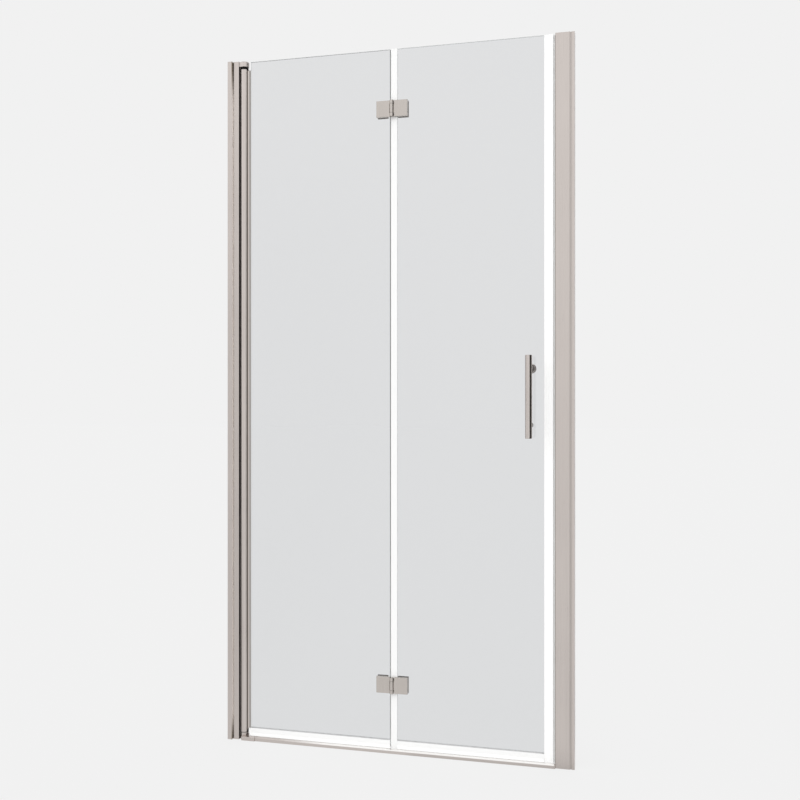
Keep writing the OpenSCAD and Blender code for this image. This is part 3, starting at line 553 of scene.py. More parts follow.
class Finishes:
    """Makes each finish once and hands it out by slot and grain."""

    def __init__(self) -> None:
        """Starts with no finish made."""
        self.made: Dict[str, bpy.types.Material] = {}

    def _once(self, name: str, build: Callable[[], bpy.types.Material]) -> bpy.types.Material:
        """Builds a material the first time that it is asked for.

        Args:
            name: Its name.
            build: Makes it.

        Returns:
            The material of that name.
        """
        if name not in self.made:
            self.made[name] = build()
        return self.made[name]

    def metal(self, slot: Slot, grain: Grain) -> bpy.types.Material:
        """Nickel or steel with its lines along the grain.

        Args:
            slot: The slot of a nickel or of the steel.
            grain: Direction of the lines.

        Returns:
            The material.
        """
        name = f"{slot.value}_{grain.name.lower()}"
        if slot is Slot.STEEL:
            return self._once(name, PlainSteel(name, grain).build)
        rough = PROFILE_ROUGHNESS if slot is Slot.PROFILE else FITTING_ROUGHNESS
        return self._once(name, BrushedNickel(name, grain, roughness=rough).build)

    def lined(self, name: str, *painted_tones: PaintedTone, grain: Grain = Grain.Z) -> bpy.types.Material:
        """Drawn nickel of one piece, with painted light and shade in places."""
        return self._once(name, BrushedNickel(name, grain, painted_tones=painted_tones).build)

    def plate(self) -> bpy.types.Material:
        """Brushed nickel of the hinge plates, a little deeper than the rest."""
        return self._once(HINGE_PLATE.name, HINGE_PLATE.build)

    def moulded(self, kind: Moulded) -> bpy.types.Material:
        """A plastic or rubber of its own kind."""
        return self._once(kind.name, kind.build)

    def plastic(self, slot: Slot) -> bpy.types.Material:
        """The plastic or rubber of a slot."""
        return self.moulded(PLASTICS[slot])

    def glass(self) -> List[bpy.types.Material]:
        """Faces and edges of the panes."""
        return [self._once(kind.name, kind.build) for kind in (GLASS_FACE, GLASS_EDGE)]


# ---------------------------------------------------------------------- mesh helpers

SHARP_TURN = 35.0
SHADING_TURN = 46.0


def sharp_edges(mesh: bmesh.types.BMesh, angle: float) -> List[bmesh.types.BMEdge]:
    """Edges that turn by more than an angle in degrees."""
    limit = math.radians(angle)
    return [e for e in mesh.edges if len(e.link_faces) == 2 and e.calc_face_angle() > limit]


def soften(
    mesh: bmesh.types.BMesh, radius: float, segments: int = 2, angle: float = SHARP_TURN
) -> None:
    """Rounds the sharp edges of a closed mesh.

    Args:
        mesh: The mesh, changed in place.
        radius: Radius of the rounding.
        segments: Facets over the rounding.
        angle: Smallest turn in degrees that counts as sharp.
    """
    bmesh.ops.bevel(
        mesh,
        geom=sharp_edges(mesh, angle),
        offset=radius,
        offset_type="OFFSET",
        segments=segments,
        profile=0.5,
        affect="EDGES",
        clamp_overlap=True,
        material=-1,
    )
    bmesh.ops.recalc_face_normals(mesh, faces=mesh.faces)


def rod(start: Vector, end: Vector, radius: float, steps: int = 64) -> bmesh.types.BMesh:
    """Makes a closed round bar.

    Args:
        start: Middle of its first end.
        end: Middle of its other end.
        radius: Its radius.
        steps: Facets round it.

    Returns:
        The mesh.
    """
    mesh = bmesh.new()
    along = end - start
    turn = Vector((0, 0, 1)).rotation_difference(along).to_matrix().to_4x4()
    bmesh.ops.create_cone(
        mesh,
        cap_ends=True,
        segments=steps,
        radius1=radius,
        radius2=radius,
        depth=along.length,
        matrix=Matrix.Translation((start + end) / 2) @ turn,
    )
    return mesh


def turned(outline: Outline, foot: Vector, along: Vector, steps: int = 64) -> bmesh.types.BMesh:
    """Spins an outline round an axis.

    Args:
        outline: Radius and distance along the axis, from one end to the other.
        foot: Where the axis starts.
        along: Direction of the axis.
        steps: Facets round the axis.

    Returns:
        The mesh.
    """
    mesh = bmesh.new()
    across = along.orthogonal().normalized()
    verts = [mesh.verts.new(foot + across * r + along * h) for r, h in outline]
    edges = [mesh.edges.new(pair) for pair in zip(verts, verts[1:])]
    bmesh.ops.spin(
        mesh,
        geom=verts + edges,
        cent=foot,
        axis=along,
        angle=2 * math.pi,
        steps=steps,
        use_merge=True,
    )
    bmesh.ops.remove_doubles(mesh, verts=mesh.verts, dist=mm(0.002))
    bmesh.ops.recalc_face_normals(mesh, faces=mesh.faces)
    return mesh


def quarter(radius: float, height: float, size: float, steps: int = 5) -> Outline:
    """A quarter round in an outline, from the side wall up to the top face.

    Args:
        radius: Radius of the side wall.
        height: Height of the top face.
        size: Radius of the quarter round.
        steps: Facets over it.

    Returns:
        Radius and height of each point.
    """
    turns = [i * math.pi / 2 / steps for i in range(steps + 1)]
    return [
        (radius - size + size * math.cos(t), height - size + size * math.sin(t)) for t in turns
    ]


def add_object(name: str, mesh: bmesh.types.BMesh) -> bpy.types.Object:
    """Puts a mesh in the scene at the origin.

    Args:
        name: Name of the object and of its mesh.
        mesh: The shape, freed here.

    Returns:
        The object.
    """
    data = bpy.data.meshes.new(name)
    mesh.to_mesh(data)
    mesh.free()
    made = bpy.data.objects.new(name, data)
    bpy.context.scene.collection.objects.link(made)
    return made


# -------------------------------------------------------------------- sub-assemblies


@dataclass
class SubAssembly:
    """A group of pieces that are built, dressed and reported together."""

    finishes: Finishes
    nodes: Dict[str, bpy.types.Object]
    title: ClassVar[str] = "sub-assembly"

    def build(self) -> None:
        """Builds and dresses every piece of the group."""
        raise NotImplementedError

    def dress(self, node: str, material: bpy.types.Material) -> None:
        """Gives a CAD node its finish.

        Args:
            node: The node, which keeps its solid.
            material: Its finish.
        """
        for place in self.nodes[node].material_slots:
            place.material = material
        LOG.info("%s: %s keeps its solid, finish %s", self.title, node, material.name)

    def stand_in(
        self,
        name: str,
        mesh: bmesh.types.BMesh,
        materials: Sequence[bpy.types.Material],
        slot: Slot,
        node: str,
    ) -> bpy.types.Object:
        """Makes a finished piece that takes the place of a CAD node.

        Args:
            name: The piece's name.
            mesh: Its shape, freed here.
            materials: Its finishes, in the order of the faces' material places.
            slot: The record's slot of its main finish; not used.
            node: The node that it stands for.

        Returns:
            The piece.
        """
        piece = add_object(name, mesh)
        piece.data.shade_smooth()
        piece.data.set_sharp_from_angle(angle=math.radians(SHADING_TURN))
        for material in materials:
            piece.data.materials.append(material)
        even = piece.modifiers.new("even_shading", "WEIGHTED_NORMAL")
        even.keep_sharp = True
        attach(piece, self.nodes[node]["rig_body"])
        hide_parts(node)
        LOG.info("%s: %s stands for %s", self.title, name, node)
        return piece

    def merged_copy(self, node: str) -> bmesh.types.BMesh:
        """Copies a CAD node's mesh.

        Args:
            node: The node.

        Returns:
            A closed copy, its flat faces joined.
        """
        mesh = bmesh.new()
        mesh.from_mesh(self.nodes[node].data)
        bmesh.ops.remove_doubles(mesh, verts=mesh.verts, dist=mm(0.001))
        bmesh.ops.dissolve_limit(
            mesh, angle_limit=math.radians(0.6), verts=mesh.verts, edges=mesh.edges
        )
        return mesh

    def eased(
        self, node: str, name: str, radius: float, material: bpy.types.Material, slot: Slot
    ) -> None:
        """Makes a CAD node's shape anew with its edges eased.

        Args:
            node: The node that the piece stands for.
            name: The piece's name.
            radius: Radius of the eased edges.
            material: Its finish.
            slot: The record's slot of that finish.
        """
        mesh = self.merged_copy(node)
        soften(mesh, radius)
        self.stand_in(name, mesh, [material], slot, node)


@dataclass
class WallProfiles(SubAssembly):
    """The fixed extrusions at both walls, with their caps and joining screws.

    shade_head and shade_foot give a height, and how softly the shade ends there.
    """

    title: ClassVar[str] = "wall profiles"
    cap_edge: float = mm(0.5)
    # painted light: a pale tone over the shadow line between channel and jamb, where little light
    # reaches
    shadow_line_painted_light: PaintedTone = PaintedTone((0.97, 0.93, 0.9), start=mm(-2.2), end=mm(2.4), outer=mm(19.7))
    shade: PaintedTone = PaintedTone((0.3, 0.26, 0.21), start=mm(-2.2), end=mm(2.4))
    shade_head: Span = (1.89, 0.06)
    shade_foot: Span = (0.03, 0.05)
    # painted shade: a near-black tone on the jamb's hollow round the tube
    pocket_painted_shade: PaintedTone = PaintedTone((0.1, 0.085, 0.07), start=mm(-1), end=mm(12), outer=mm(13.8))
    # painted shade: a darker tone on the channel's legs in the gap between strike profile and
    # bead
    strike_gap_painted_shade: PaintedTone = PaintedTone((0.52, 0.475, 0.45), start=0.0, end=mm(22.7), outer=mm(11))
    # painted light: a pale matt tone on the channel's edge against the wall
    wall_edge_painted_light: PaintedTone = PaintedTone((0.9, 0.88, 0.87), start=mm(-0.2), matt_painted=True)
    # painted shade: a near-black tone on the strip next to the strike profile
    strip_root: PaintedTone = PaintedTone((0.07, 0.065, 0.06), start=mm(3.3))

    def build(self) -> None:
        """Dresses the extrusions and eases the small caps."""
        self.pivot_wall()
        self.strike_wall()
        for node in ("left_profile_cap", "strike_profile_cap"):
            self.dress(node, self.finishes.plastic(Slot.NYLON))
        self.dress("profile_screws", self.finishes.metal(Slot.STEEL, Grain.Y))
        fitting = self.finishes.metal(Slot.FITTING, Grain.Z)
        self.eased("screw_cover_caps", "screw_covers", self.cap_edge, fitting, Slot.FITTING)

    def pivot_wall(self) -> None:
        """Dresses the channel and the jamb, with painted light and shade by the shadow line."""
        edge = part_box("left_wall_channel")[1].x
        head, head_fade = self.shade_head
        foot, foot_fade = self.shade_foot
        lines = [
            self.shadow_line_painted_light.at(x=edge),
            replace(self.shade, low=head, fade=head_fade).at(x=edge),
            replace(self.shade, high=foot, fade=foot_fade).at(x=edge),
        ]
        pocket_painted_shade = self.pocket_painted_shade.at(x=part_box("pivot_tube_profile")[0].x)
        self.dress("left_wall_channel", self.finishes.lined("left_channel_nickel", *lines))
        jamb = self.finishes.lined("jamb_nickel", lines[0], pocket_painted_shade, *lines[1:])
        self.dress("left_jamb_profile", jamb)

    def strike_wall(self) -> None:
        """Dresses the channel, strike profile and magnet strip, with painted light and shade."""
        bead, wall = (corner.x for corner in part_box("right_wall_channel"))
        strike_gap_painted_shade, wall_edge_painted_light = self.strike_gap_painted_shade.at(x=bead), self.wall_edge_painted_light.at(x=wall)
        channel = self.finishes.lined("right_channel_nickel", strike_gap_painted_shade, wall_edge_painted_light)
        self.dress("right_wall_channel", channel)
        self.dress("strike_profile", self.finishes.metal(Slot.PROFILE, Grain.Z))
        root = self.strip_root.at(x=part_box("strike_magnet_strip")[0].x)
        strip = replace(PLASTICS[Slot.CLEAR], painted_tones=(root,))
        self.dress("strike_magnet_strip", self.finishes.moulded(strip))


@dataclass
class PivotSide(SubAssembly):
    """The turning tube with its cap, bush, cams and the fixed fittings that carry it."""

    title: ClassVar[str] = "pivot side"
    tube_edge: float = mm(0.25)
    fitting_edge: float = mm(0.5)
    # painted shade: a dark tone in the tube's channel where the gaskets sit
    tube_channel_painted_shade: PaintedTone = PaintedTone(
        (0.12, 0.1, 0.085), start=mm(21.5), end=mm(25.2), inner=mm(6), outer=mm(8.15)
    )
    # painted light: a pale matt tone on the edge of the tube's channel, so that it shows lighter
    lip_painted_light: PaintedTone = PaintedTone(
        (0.6, 0.56, 0.53), start=mm(19.75), end=mm(21.4), inner=mm(6), outer=mm(8.15), matt_painted=True
    )
    # painted shade: a dark band on tube and sleeve where they meet
    joint: PaintedTone = PaintedTone((0.05, 0.045, 0.04), low=mm(-1), high=mm(0.7))
    # painted shade: a dark matt tone on the sleeve's side towards the jamb
    flank_painted_shade: PaintedTone = PaintedTone((0.07, 0.06, 0.05), end=mm(8.2), soft=mm(1.5), matt_painted=True)

    def build(self) -> None:
        """Eases what shows and dresses what sits inside."""
        self.shown()
        for node in ("fixed_cam", "leaf_cam", "tube_top_plug"):
            self.dress(node, self.finishes.plastic(Slot.NYLON))
        steel = self.finishes.metal(Slot.STEEL, Grain.Z)
        for node in ("top_pivot_pin", "bottom_pivot_pin", "pivot_bracket_screws"):
            self.dress(node, steel)
        for node in ("front_glass_gasket", "rear_glass_gasket"):
            self.dress(node, self.finishes.plastic(Slot.GASKET))

    def shown(self) -> None:
        """Eases the tube, the cap over it, the fixed sleeve under it and the bush."""
        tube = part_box("pivot_tube_profile")[0]
        tube_channel_painted_shade, lip_painted_light = self.tube_channel_painted_shade.at(x=tube.x), self.lip_painted_light.at(x=tube.x)
        joint = self.joint.at(z=tube.z)
        drawn = self.finishes.lined("tube_nickel", tube_channel_painted_shade, lip_painted_light, joint)
        self.eased("pivot_tube_profile", "pivot_tube", self.tube_edge, drawn, Slot.PROFILE)
        fitting = self.finishes.metal(Slot.FITTING, Grain.Z)
        self.eased("top_pivot_cap", "top_cap", self.fitting_edge, fitting, Slot.FITTING)
        sleeve = self.finishes.lined("sleeve_nickel", self.flank_painted_shade.at(x=tube.x), joint)
        self.eased("pivot_sleeve", "cam_sleeve", self.tube_edge, sleeve, Slot.FITTING)
        nylon = self.finishes.plastic(Slot.NYLON)
        self.eased("lift_bush", "rising_bush", self.tube_edge, nylon, Slot.NYLON)


@dataclass
class Threshold(SubAssembly):
    """The rail on the tray, its moulded end and the bracket of the lower pivot."""

    title: ClassVar[str] = "threshold"
    edge: float = mm(0.4)
    # painted highlight: a near-white tone along the top of the rail
    rail_top_painted_highlight: PaintedTone = PaintedTone(
        (0.97, 0.95, 0.93), start=-0.27, low=mm(-3.4), soft=0.1, fade=mm(0.9)
    )

    def build(self) -> None:
        """Dresses the rail along its length and eases its ends."""
        rail_top_painted_highlight = self.rail_top_painted_highlight.at(z=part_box("threshold_rail")[1].z)
        self.dress("threshold_rail", self.finishes.lined("rail_nickel", rail_top_painted_highlight, grain=Grain.X))
        fitting = self.finishes.metal(Slot.FITTING, Grain.X)
        self.eased("bottom_pivot_bracket", "corner_bracket", self.edge, fitting, Slot.FITTING)
        self.eased("rail_end_cap", "rail_end", self.edge, fitting, Slot.FITTING)


@dataclass
class Panes(SubAssembly):
    """The two glass panes with arrissed, polished edges."""

    title: ClassVar[str] = "panes"
    arris: float = mm(0.4)
    corner_turn: float = 60.0
    facing: float = 0.95

    def build(self) -> None:
        """Grinds the edges of both panes."""
        for node, name in (("pivot_glass", "pivot_pane"), ("fold_glass", "fold_pane")):
            mesh = self.merged_copy(node)
            soften(mesh, self.arris, segments=1, angle=self.corner_turn)
            for face in mesh.faces:
                face.material_index = 0 if abs(face.normal.y) > self.facing else 1
            pane = self.stand_in(name, mesh, self.finishes.glass(), Slot.GLASS, node)
            pane.visible_shadow = False
            pane.visible_diffuse = False


@dataclass
class Seals(SubAssembly):
    """White extruded seals between and round the panes."""

    title: ClassVar[str] = "seals"
    # painted shade: a grey band along the top edge of the drip seals
    rim: PaintedTone = PaintedTone((0.36, 0.36, 0.365), low=mm(-0.5))
    # painted glow: the closing seal gives off light in its own colour
    painted_glow_strength: float = 0.075

    def build(self) -> None:
        """Dresses the extruded seals and the magnet in the closing one."""
        white = PLASTICS[Slot.SEAL]
        self.dress("gap_seal", self.finishes.moulded(white))
        rim = self.rim.at(z=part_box("fold_drip_seal")[1].z)
        rimmed = replace(white, name="white_seal_rimmed", painted_tones=(rim,))
        for node in ("pivot_drip_seal", "fold_drip_seal"):
            self.dress(node, self.finishes.moulded(rimmed))
        closing = replace(white, name="white_seal_lit_through", glow=self.painted_glow_strength)
        self.dress("magnetic_seal", self.finishes.moulded(closing))
        self.dress("seal_magnet", self.finishes.plastic(Slot.MAGNET))


@dataclass
class ClampHinges(SubAssembly):
    """Both glass-to-glass hinges: plates, barrels, pins, gaskets and screws."""

    title: ClassVar[str] = "clamp hinges"
    plate_edge: float = mm(0.3)
    screw_edge: float = mm(0.15)

    def build(self) -> None:
        """Eases the plates, then fits pins, gaskets and screws."""
        plate = self.finishes.plate()
        for end in ("upper", "lower"):
            for node, name in (
                (f"{end}_hinge_pivot_leaf", f"{end}_pivot_plate"),
                (f"{end}_hinge_fold_leaf", f"{end}_fold_plate"),
                (f"{end}_pivot_back_plate", f"{end}_pivot_back"),
                (f"{end}_fold_back_plate", f"{end}_fold_back"),
            ):
                self.eased(node, name, self.plate_edge, plate, Slot.FITTING)
            self.dress(f"{end}_hinge_pin", self.finishes.metal(Slot.STEEL, Grain.Z))
        self.dress("knuckle_washers", self.finishes.plastic(Slot.NYLON))
        steel = self.finishes.metal(Slot.STEEL, Grain.Y)
        for leaf in ("pivot", "fold"):
            self.dress(f"{leaf}_clamp_gaskets", self.finishes.plastic(Slot.GASKET))
            screws = f"{leaf}_clamp_screws"
            self.eased(screws, f"{leaf}_plate_screws", self.screw_edge, steel, Slot.STEEL)


@dataclass
class PullHandle(SubAssembly):
    """The pull bar on its posts, with the studs, washers and knob inside.

    knob_stem and knob_rim give radius and height over the glass in millimetres, the rim's
    radius from that of the disc. dish_steps and nut_crown go down from the top.
    """

    title: ClassVar[str] = "pull handle"
    end_turn: float = 60.0
    bar_edge: float = mm(1.2)
    post_edge: float = mm(0.5)
    knob_stem: Tuple[Span, ...] = (
        (0.0, 0.0), (6.0, 0.0), (6.0, 3.6), (5.7, 4.2), (5.2, 7.0), (5.4, 9.5), (7.5, 11.4),
        (10.8, 12.7),
    )
    knob_rim: Tuple[Span, ...] = ((-0.6, 14.2), (0.0, 15.6))
    knob_edge: float = mm(2.2)
    dish_rim: float = mm(4)
    dish_steps: Span = (mm(0.35), mm(0.7))
    nut_arris: float = mm(0.3)
    nut_edge: float = mm(1.8)
    nut_crown: Span = (mm(2.5), mm(0.05))
    # painted shade: a dark tone on the knob's neck and the flare under its disc
    neck: PaintedTone = PaintedTone((0.24, 0.22, 0.205), inner=mm(-1), outer=mm(12.5), soft=mm(0.6))
    # painted shade: the clear washers take a dark grey tone, and washer_shade darkens the upper
    # one further
    washer_painted_shade_tones: Tuple[Colour, Colour] = ((0.36, 0.35, 0.34), (0.3, 0.29, 0.28))
    washer_shade: PaintedTone = PaintedTone((0.15, 0.14, 0.133), low=0.98)

    def build(self) -> None:
        """Builds the handle from the bar to the knob."""
        self.bar()
        self.posts()
        # painted shade on the knob's neck and flare
        neck = self.neck.at(y=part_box("inner_knob")[0].y)
        shaded = self.finishes.lined("knob_nickel", neck, grain=Grain.Y)
        self.inside("inner_knob", "knob", self.knob_outline, shaded)
        fitting = self.finishes.metal(Slot.FITTING, Grain.Y)
        self.inside("lower_cap_nut", "cap_nut", self.nut_outline, fitting)
        self.dress("handle_studs", self.finishes.metal(Slot.STEEL, Grain.Y))
        colour, deep = self.washer_painted_shade_tones
        washer = replace(
            PLASTICS[Slot.CLEAR], name="washer_plastic", colour=colour, deep=deep,
            painted_tones=(self.washer_shade,),
        )
        self.dress("handle_washers", self.finishes.moulded(washer))

    def bar(self) -> None:
        """Turns the bar with rounded ends."""
        low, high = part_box("handle_bar")
        middle = (low + high) / 2
        radius = min(high.x - low.x, high.y - low.y) / 2
        mesh = rod(
            Vector((middle.x, middle.y, low.z)), Vector((middle.x, middle.y, high.z)), radius
        )
        soften(mesh, self.bar_edge, segments=4, angle=self.end_turn)
        fitting = self.finishes.metal(Slot.FITTING, Grain.Z)
        self.stand_in("pull_bar", mesh, [fitting], Slot.FITTING, "handle_bar")

    def posts(self) -> None:
        """Turns the two posts."""
        fitting = self.finishes.metal(Slot.FITTING, Grain.Y)
        for end in ("upper", "lower"):
            low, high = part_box(f"{end}_handle_post")
            middle = (low + high) / 2
            foot, head = (Vector((middle.x, y, middle.z)) for y in (low.y, high.y))
            mesh = rod(foot, head, (high.x - low.x) / 2, steps=48)
            soften(mesh, self.post_edge, angle=self.end_turn)
            self.stand_in(f"{end}_post", mesh, [fitting], Slot.FITTING, f"{end}_handle_post")

    def inside(
        self,
        node: str,
        name: str,
        outline: Callable[[float, float], Outline],
        material: bpy.types.Material,
    ) -> None:
        """Turns a fitting that stands on the shower side of the glass.

        Args:
            node: The node that it stands for.
            name: The piece's name.
            outline: Gives its outline from its largest radius and its height.
            material: Its finish.
        """
        low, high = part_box(node)
        middle = (low + high) / 2
        points = outline((high.x - low.x) / 2, high.y - low.y)
        mesh = turned(points, Vector((middle.x, low.y, middle.z)), Vector((0, 1, 0)))
        self.stand_in(name, mesh, [material], Slot.FITTING, node)

    def knob_outline(self, radius: float, height: float) -> Outline:
        """Draws a foot, a slim neck and a disc with a rounded rim and a shallow dish.

        Args:
            radius: Radius of the disc.
            height: Height over the glass.

        Returns:
            Radius and height of each point.
        """
        stem = [(mm(r), mm(h)) for r, h in self.knob_stem]
        rim = [(radius + mm(r), mm(h)) for r, h in self.knob_rim]
        shallow, deep = (height - step for step in self.dish_steps)
        dish = [(radius - self.dish_rim, shallow), (self.dish_rim, deep), (0.0, deep)]
        return stem + rim + quarter(radius, height, self.knob_edge) + dish

    def nut_outline(self, radius: float, height: float) -> Outline:
        """Draws a low cap with a domed top.

        Args:
            radius: Its radius.
            height: Its height over the glass.

        Returns:
            Radius and height of each point.
        """
        arris = self.nut_arris
        wall = [(0.0, 0.0), (radius - arris, 0.0), (radius, arris)]
        crown = [(self.nut_crown[0], height - self.nut_crown[1]), (0.0, height)]
        return wall + quarter(radius, height - arris, self.nut_edge) + crown


# ---------------------------------------------------------------------------- studio


@dataclass(frozen=True)
class Sun:
    """A soft lamp far away: where it stands, its strength and its spread in degrees."""

    name: str
    azimuth: float
    height: float
    strength: float
    spread: float

    def hang(self) -> None:
        """Adds the lamp, aimed at the door."""
        data = bpy.data.lights.new(self.name, "SUN")
        data.energy = self.strength
        data.angle = math.radians(self.spread)
        lamp = bpy.data.objects.new(self.name, data)
        lamp.visible_transmission = False
        lamp.visible_glossy = False
        turn, rise = math.radians(self.azimuth), math.radians(self.height)
        towards = Vector(
            (math.sin(turn) * math.cos(rise), -math.cos(turn) * math.cos(rise), math.sin(rise))
        )
        lamp.rotation_euler = towards.to_track_quat("Z", "Y").to_euler()
        bpy.context.scene.collection.objects.link(lamp)


@dataclass(frozen=True)
class MirroredRoom:
    """What metal mirrors: a bright room in front, a dimmer one behind, and dark strips.

    Windows and fades are read from the direction: its share across the door, its share
    into the shower, its share upwards, or across over into.
    """

    left_window: Window = (-0.55, -0.25, 0.08)
    left_top: Span = (0.32, 0.12)
    left_dim: float = 0.18
    box_window: Window = (-0.8, -0.6, 0.05)
    box_gain: float = 0.2
    side_fade: Span = (-0.86, -0.97)
    side_dim: float = 0.45
    back_level: float = 0.6
    back_dark: float = 0.06
    back_fade: Span = (-0.1, 0.2)
    left_strip: Window = (-0.35, -0.19, 0.03)
    right_strip: Window = (0.19, 0.32, 0.03)
    strip_fade: Span = (0.55, 0.8)
    corner_fade: Span = (-1.4, -2.0)

    def level(self, bench: Bench, towards: Signal, front: Number, steep: Number) -> Signal:
        """Works out the brightness that is mirrored.

        Args:
            bench: Where the nodes go.
            towards: Direction from the door.
            front: Brightness in front of the door.
            steep: One where the direction points well up or down.

        Returns:
            The brightness in that direction.
        """
        across, along, height = (bench.axis(towards, name) for name in "XYZ")
        left = bench.within(across, *self.left_window) * bench.between(height, *self.left_top)
        box = bench.within(across, *self.box_window)
        side = bench.between(across, *self.side_fade)
        front = front * (
            1.0 + self.box_gain * box - self.left_dim * left - self.side_dim * side
        )
        ratio = across / along
        strips = bench.within(ratio, *self.left_strip) * steep
        strips = strips + bench.within(ratio, *self.right_strip)
        dark = strips * bench.between(along, *self.strip_fade)
        dark = dark + bench.between(ratio, *self.corner_fade)
        back = self.back_level - (self.back_level - self.back_dark) * dark
        behind = bench.between(along, *self.back_fade)
        return front * (1.0 - behind) + back * behind


@dataclass(frozen=True)
class Floor:
    """A pale floor that keeps a soft shadow and shows in the metal as the room does."""

    size: float = 60.0
    glow: float = 0.8115
    mirrored_level: float = 0.825
    near: float = 1.5
    shadow_share: float = 0.06
    bounce: float = 0.62

    def lay(self, room: MirroredRoom) -> None:
        """Adds the floor.

        Args:
            room: What the metal mirrors, laid out here as if seen from the origin.
        """
        mesh = bmesh.new()
        bmesh.ops.create_grid(mesh, x_segments=1, y_segments=1, size=self.size / 2)
        floor = add_object("studio_floor", mesh)
        material, bench = new_material("studio_floor")
        place = bench.place()
        away = bench.node(
            "ShaderNodeVectorMath", {"operation": "LENGTH"}, {0: place}, output="Value"
        )
        towards = bench.node(
            "ShaderNodeVectorMath", {"operation": "DIVIDE"}, {0: place, 1: away + self.near}
        )
        mirrored = room.level(bench, towards, self.mirrored_level, 1.0)
        plain = bench.ray("Camera") + bench.ray("Transmission")
        strength = plain * self.glow + bench.ray("Glossy") * (1.0 - plain) * mirrored
        glow = bench.node(
            "ShaderNodeEmission", sockets={"Strength": strength, "Color": WHITE}
        )
        shade = bench.tint(bench.ray("Diffuse"), (self.shadow_share,) * 3, (self.bounce,) * 3)
        matt = bench.node("ShaderNodeBsdfDiffuse", sockets={"Color": shade})
        bench.close(bench.node("ShaderNodeAddShader", sockets={0: glow, 1: matt}))
        material.cycles.emission_sampling = "NONE"
        floor.data.materials.append(material)


@dataclass(frozen=True)
class BlackCard:
    """A soft-edged card beside the door, bent to lie on the floor, seen in mirrors only."""

    across: Span = (0.5, 0.9)
    along: Span = (-0.8, 0.5)
    foot: float = mm(2)
    top: float = 2.6
    edge: float = 0.15
    back_inset: float = 0.1
    top_fade: float = 0.5
    tones: Tuple[Colour, Colour] = ((0.03, 0.028, 0.026), (0.045, 0.042, 0.04))
    patch_scale: float = 40.0

    def stand(self) -> None:
        """Adds the card."""
        card = add_object("studio_card", self.shape())
        for ray in ("camera", "diffuse", "transmission", "shadow"):
            setattr(card, f"visible_{ray}", False)
        material, bench = new_material("studio_card")
        place = bench.place()
        near, (front, back) = self.across[0], self.along
        solid = bench.within(
            bench.axis(place, "Y"), front + self.edge, back - self.back_inset, self.edge
        )
        solid = solid * bench.between(bench.axis(place, "Z"), self.top, self.top - self.top_fade)
        solid = solid * bench.between(bench.axis(place, "X"), near, near + self.edge)
        black = bench.tint(bench.noise(place, self.patch_scale), *self.tones)
        clear = bench.node("ShaderNodeBsdfTransparent")
        shade = bench.node("ShaderNodeBsdfDiffuse", sockets={"Color": black})
        bench.close(bench.node("ShaderNodeMixShader", sockets={0: solid, 1: clear, 2: shade}))
        card.data.materials.append(material)

    def shape(self) -> bmesh.types.BMesh:
        """Draws the near edge out over the floor and then up.

        Returns:
            The mesh.
        """
        near, far = self.across
        mesh = bmesh.new()
        ends = [mesh.verts.new((near, y, self.foot)) for y in self.along]
        edges = [mesh.edges.new(ends)]
        for step in ((far - near, 0.0, 0.0), (0.0, 0.0, self.top - self.foot)):
            drawn = bmesh.ops.extrude_edge_only(mesh, edges=edges)["geom"]
            edges = [part for part in drawn if isinstance(part, bmesh.types.BMEdge)]
            bmesh.ops.translate(mesh, verts=list(edges[0].verts), vec=Vector(step))
        return mesh


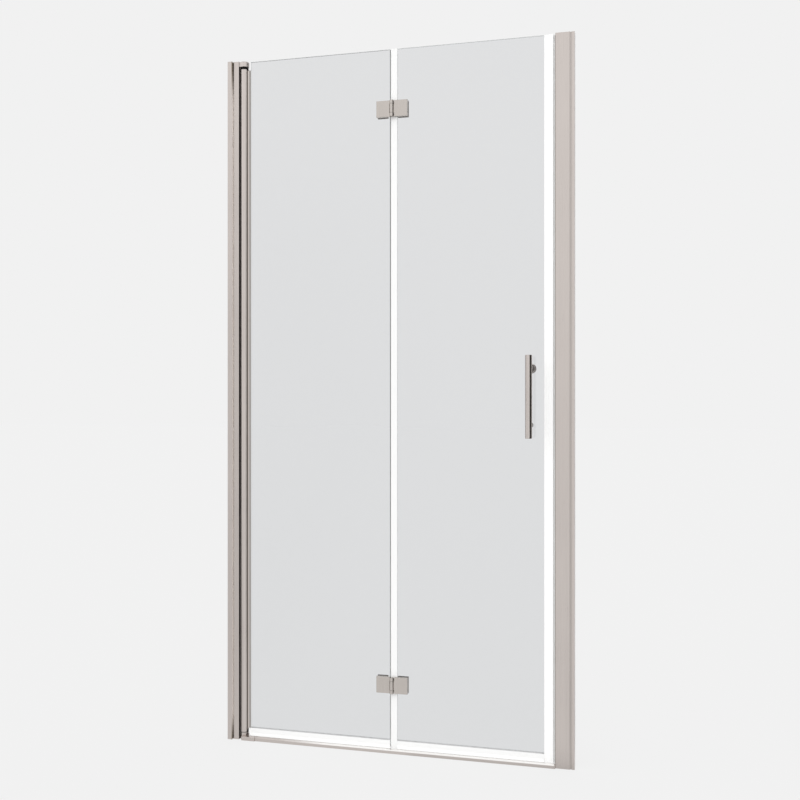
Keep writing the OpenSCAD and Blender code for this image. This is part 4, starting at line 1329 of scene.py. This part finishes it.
@dataclass(frozen=True)
class PictureCamera:
    """The camera of the picture: level, turned a little to the left."""

    eye: Tuple[float, float, float] = (0.66062, -2.57808, 0.97833)
    turn: float = 14.0745
    lens: float = 43.155
    sensor: float = 36.0
    shift_y: float = -0.00086
    reach: float = 200.0

    def place(self) -> None:
        """Adds the camera and makes it the scene's."""
        data = bpy.data.cameras.new("picture_camera")
        data.lens = self.lens
        data.sensor_width = self.sensor
        data.shift_y = self.shift_y
        data.clip_end = self.reach
        camera = bpy.data.objects.new("picture_camera", data)
        camera.location = self.eye
        camera.rotation_euler = (math.pi / 2, 0.0, math.radians(self.turn))
        bpy.context.scene.collection.objects.link(camera)
        bpy.context.scene.camera = camera


@dataclass(frozen=True)
class Studio:
    """Everything round the door: surroundings, floor, card, suns and camera."""

    backdrop: float = 0.8796
    front_range: Span = (0.955, 1.05)
    front_rise: Span = (0.0, 0.3)
    steep_tilt: Span = (0.08, 0.2)
    room: MirroredRoom = MirroredRoom()
    suns: Tuple[Sun, ...] = (
        Sun("key_sun", -20.0, 50.0, 0.86, 70.0),
        Sun("rear_sun", 165.0, 50.0, 0.7, 70.0),
    )

    def build(self) -> None:
        """Sets up the studio."""
        self.surroundings()
        Floor().lay(self.room)
        BlackCard().stand()
        for sun in self.suns:
            sun.hang()
        PictureCamera().place()
        bpy.context.scene.view_settings.view_transform = "Standard"
        LOG.info("studio: floor, surroundings, card, %d suns and camera", len(self.suns))

    def surroundings(self) -> None:
        """Makes a world that is plain to the camera and uneven, as a room is, in mirrors."""
        world = bpy.data.worlds.new("studio_surroundings")
        world.use_nodes = True
        bench = Bench(world.node_tree)
        towards = bench.node("ShaderNodeTexCoord", output="Generated")
        height = bench.axis(towards, "Z")
        front = bench.between(height, *self.front_rise, self.front_range)
        steep = bench.between(bench.magnitude(height), *self.steep_tilt)
        level = self.room.level(bench, towards, front, steep)
        seen = bench.ray("Camera") + bench.ray("Transmission")
        strength = seen * self.backdrop + (1.0 - seen) * level
        glow = bench.node(
            "ShaderNodeBackground", sockets={"Strength": strength, "Color": WHITE}
        )
        bench.close(glow, "ShaderNodeOutputWorld")
        bpy.context.scene.world = world


def main() -> None:
    """Loads the frame and builds the studio and every group in order."""
    logging.basicConfig(level=logging.INFO, format="%(name)s: %(message)s")
    for stray in list(bpy.data.objects):
        bpy.data.objects.remove(stray)
    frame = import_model()
    Studio().build()
    finishes = Finishes()
    for group in (WallProfiles, PivotSide, Threshold, Panes, Seals, ClampHinges, PullHandle):
        group(finishes, frame["nodes"]).build()


if __name__ == "__main__":
    main()
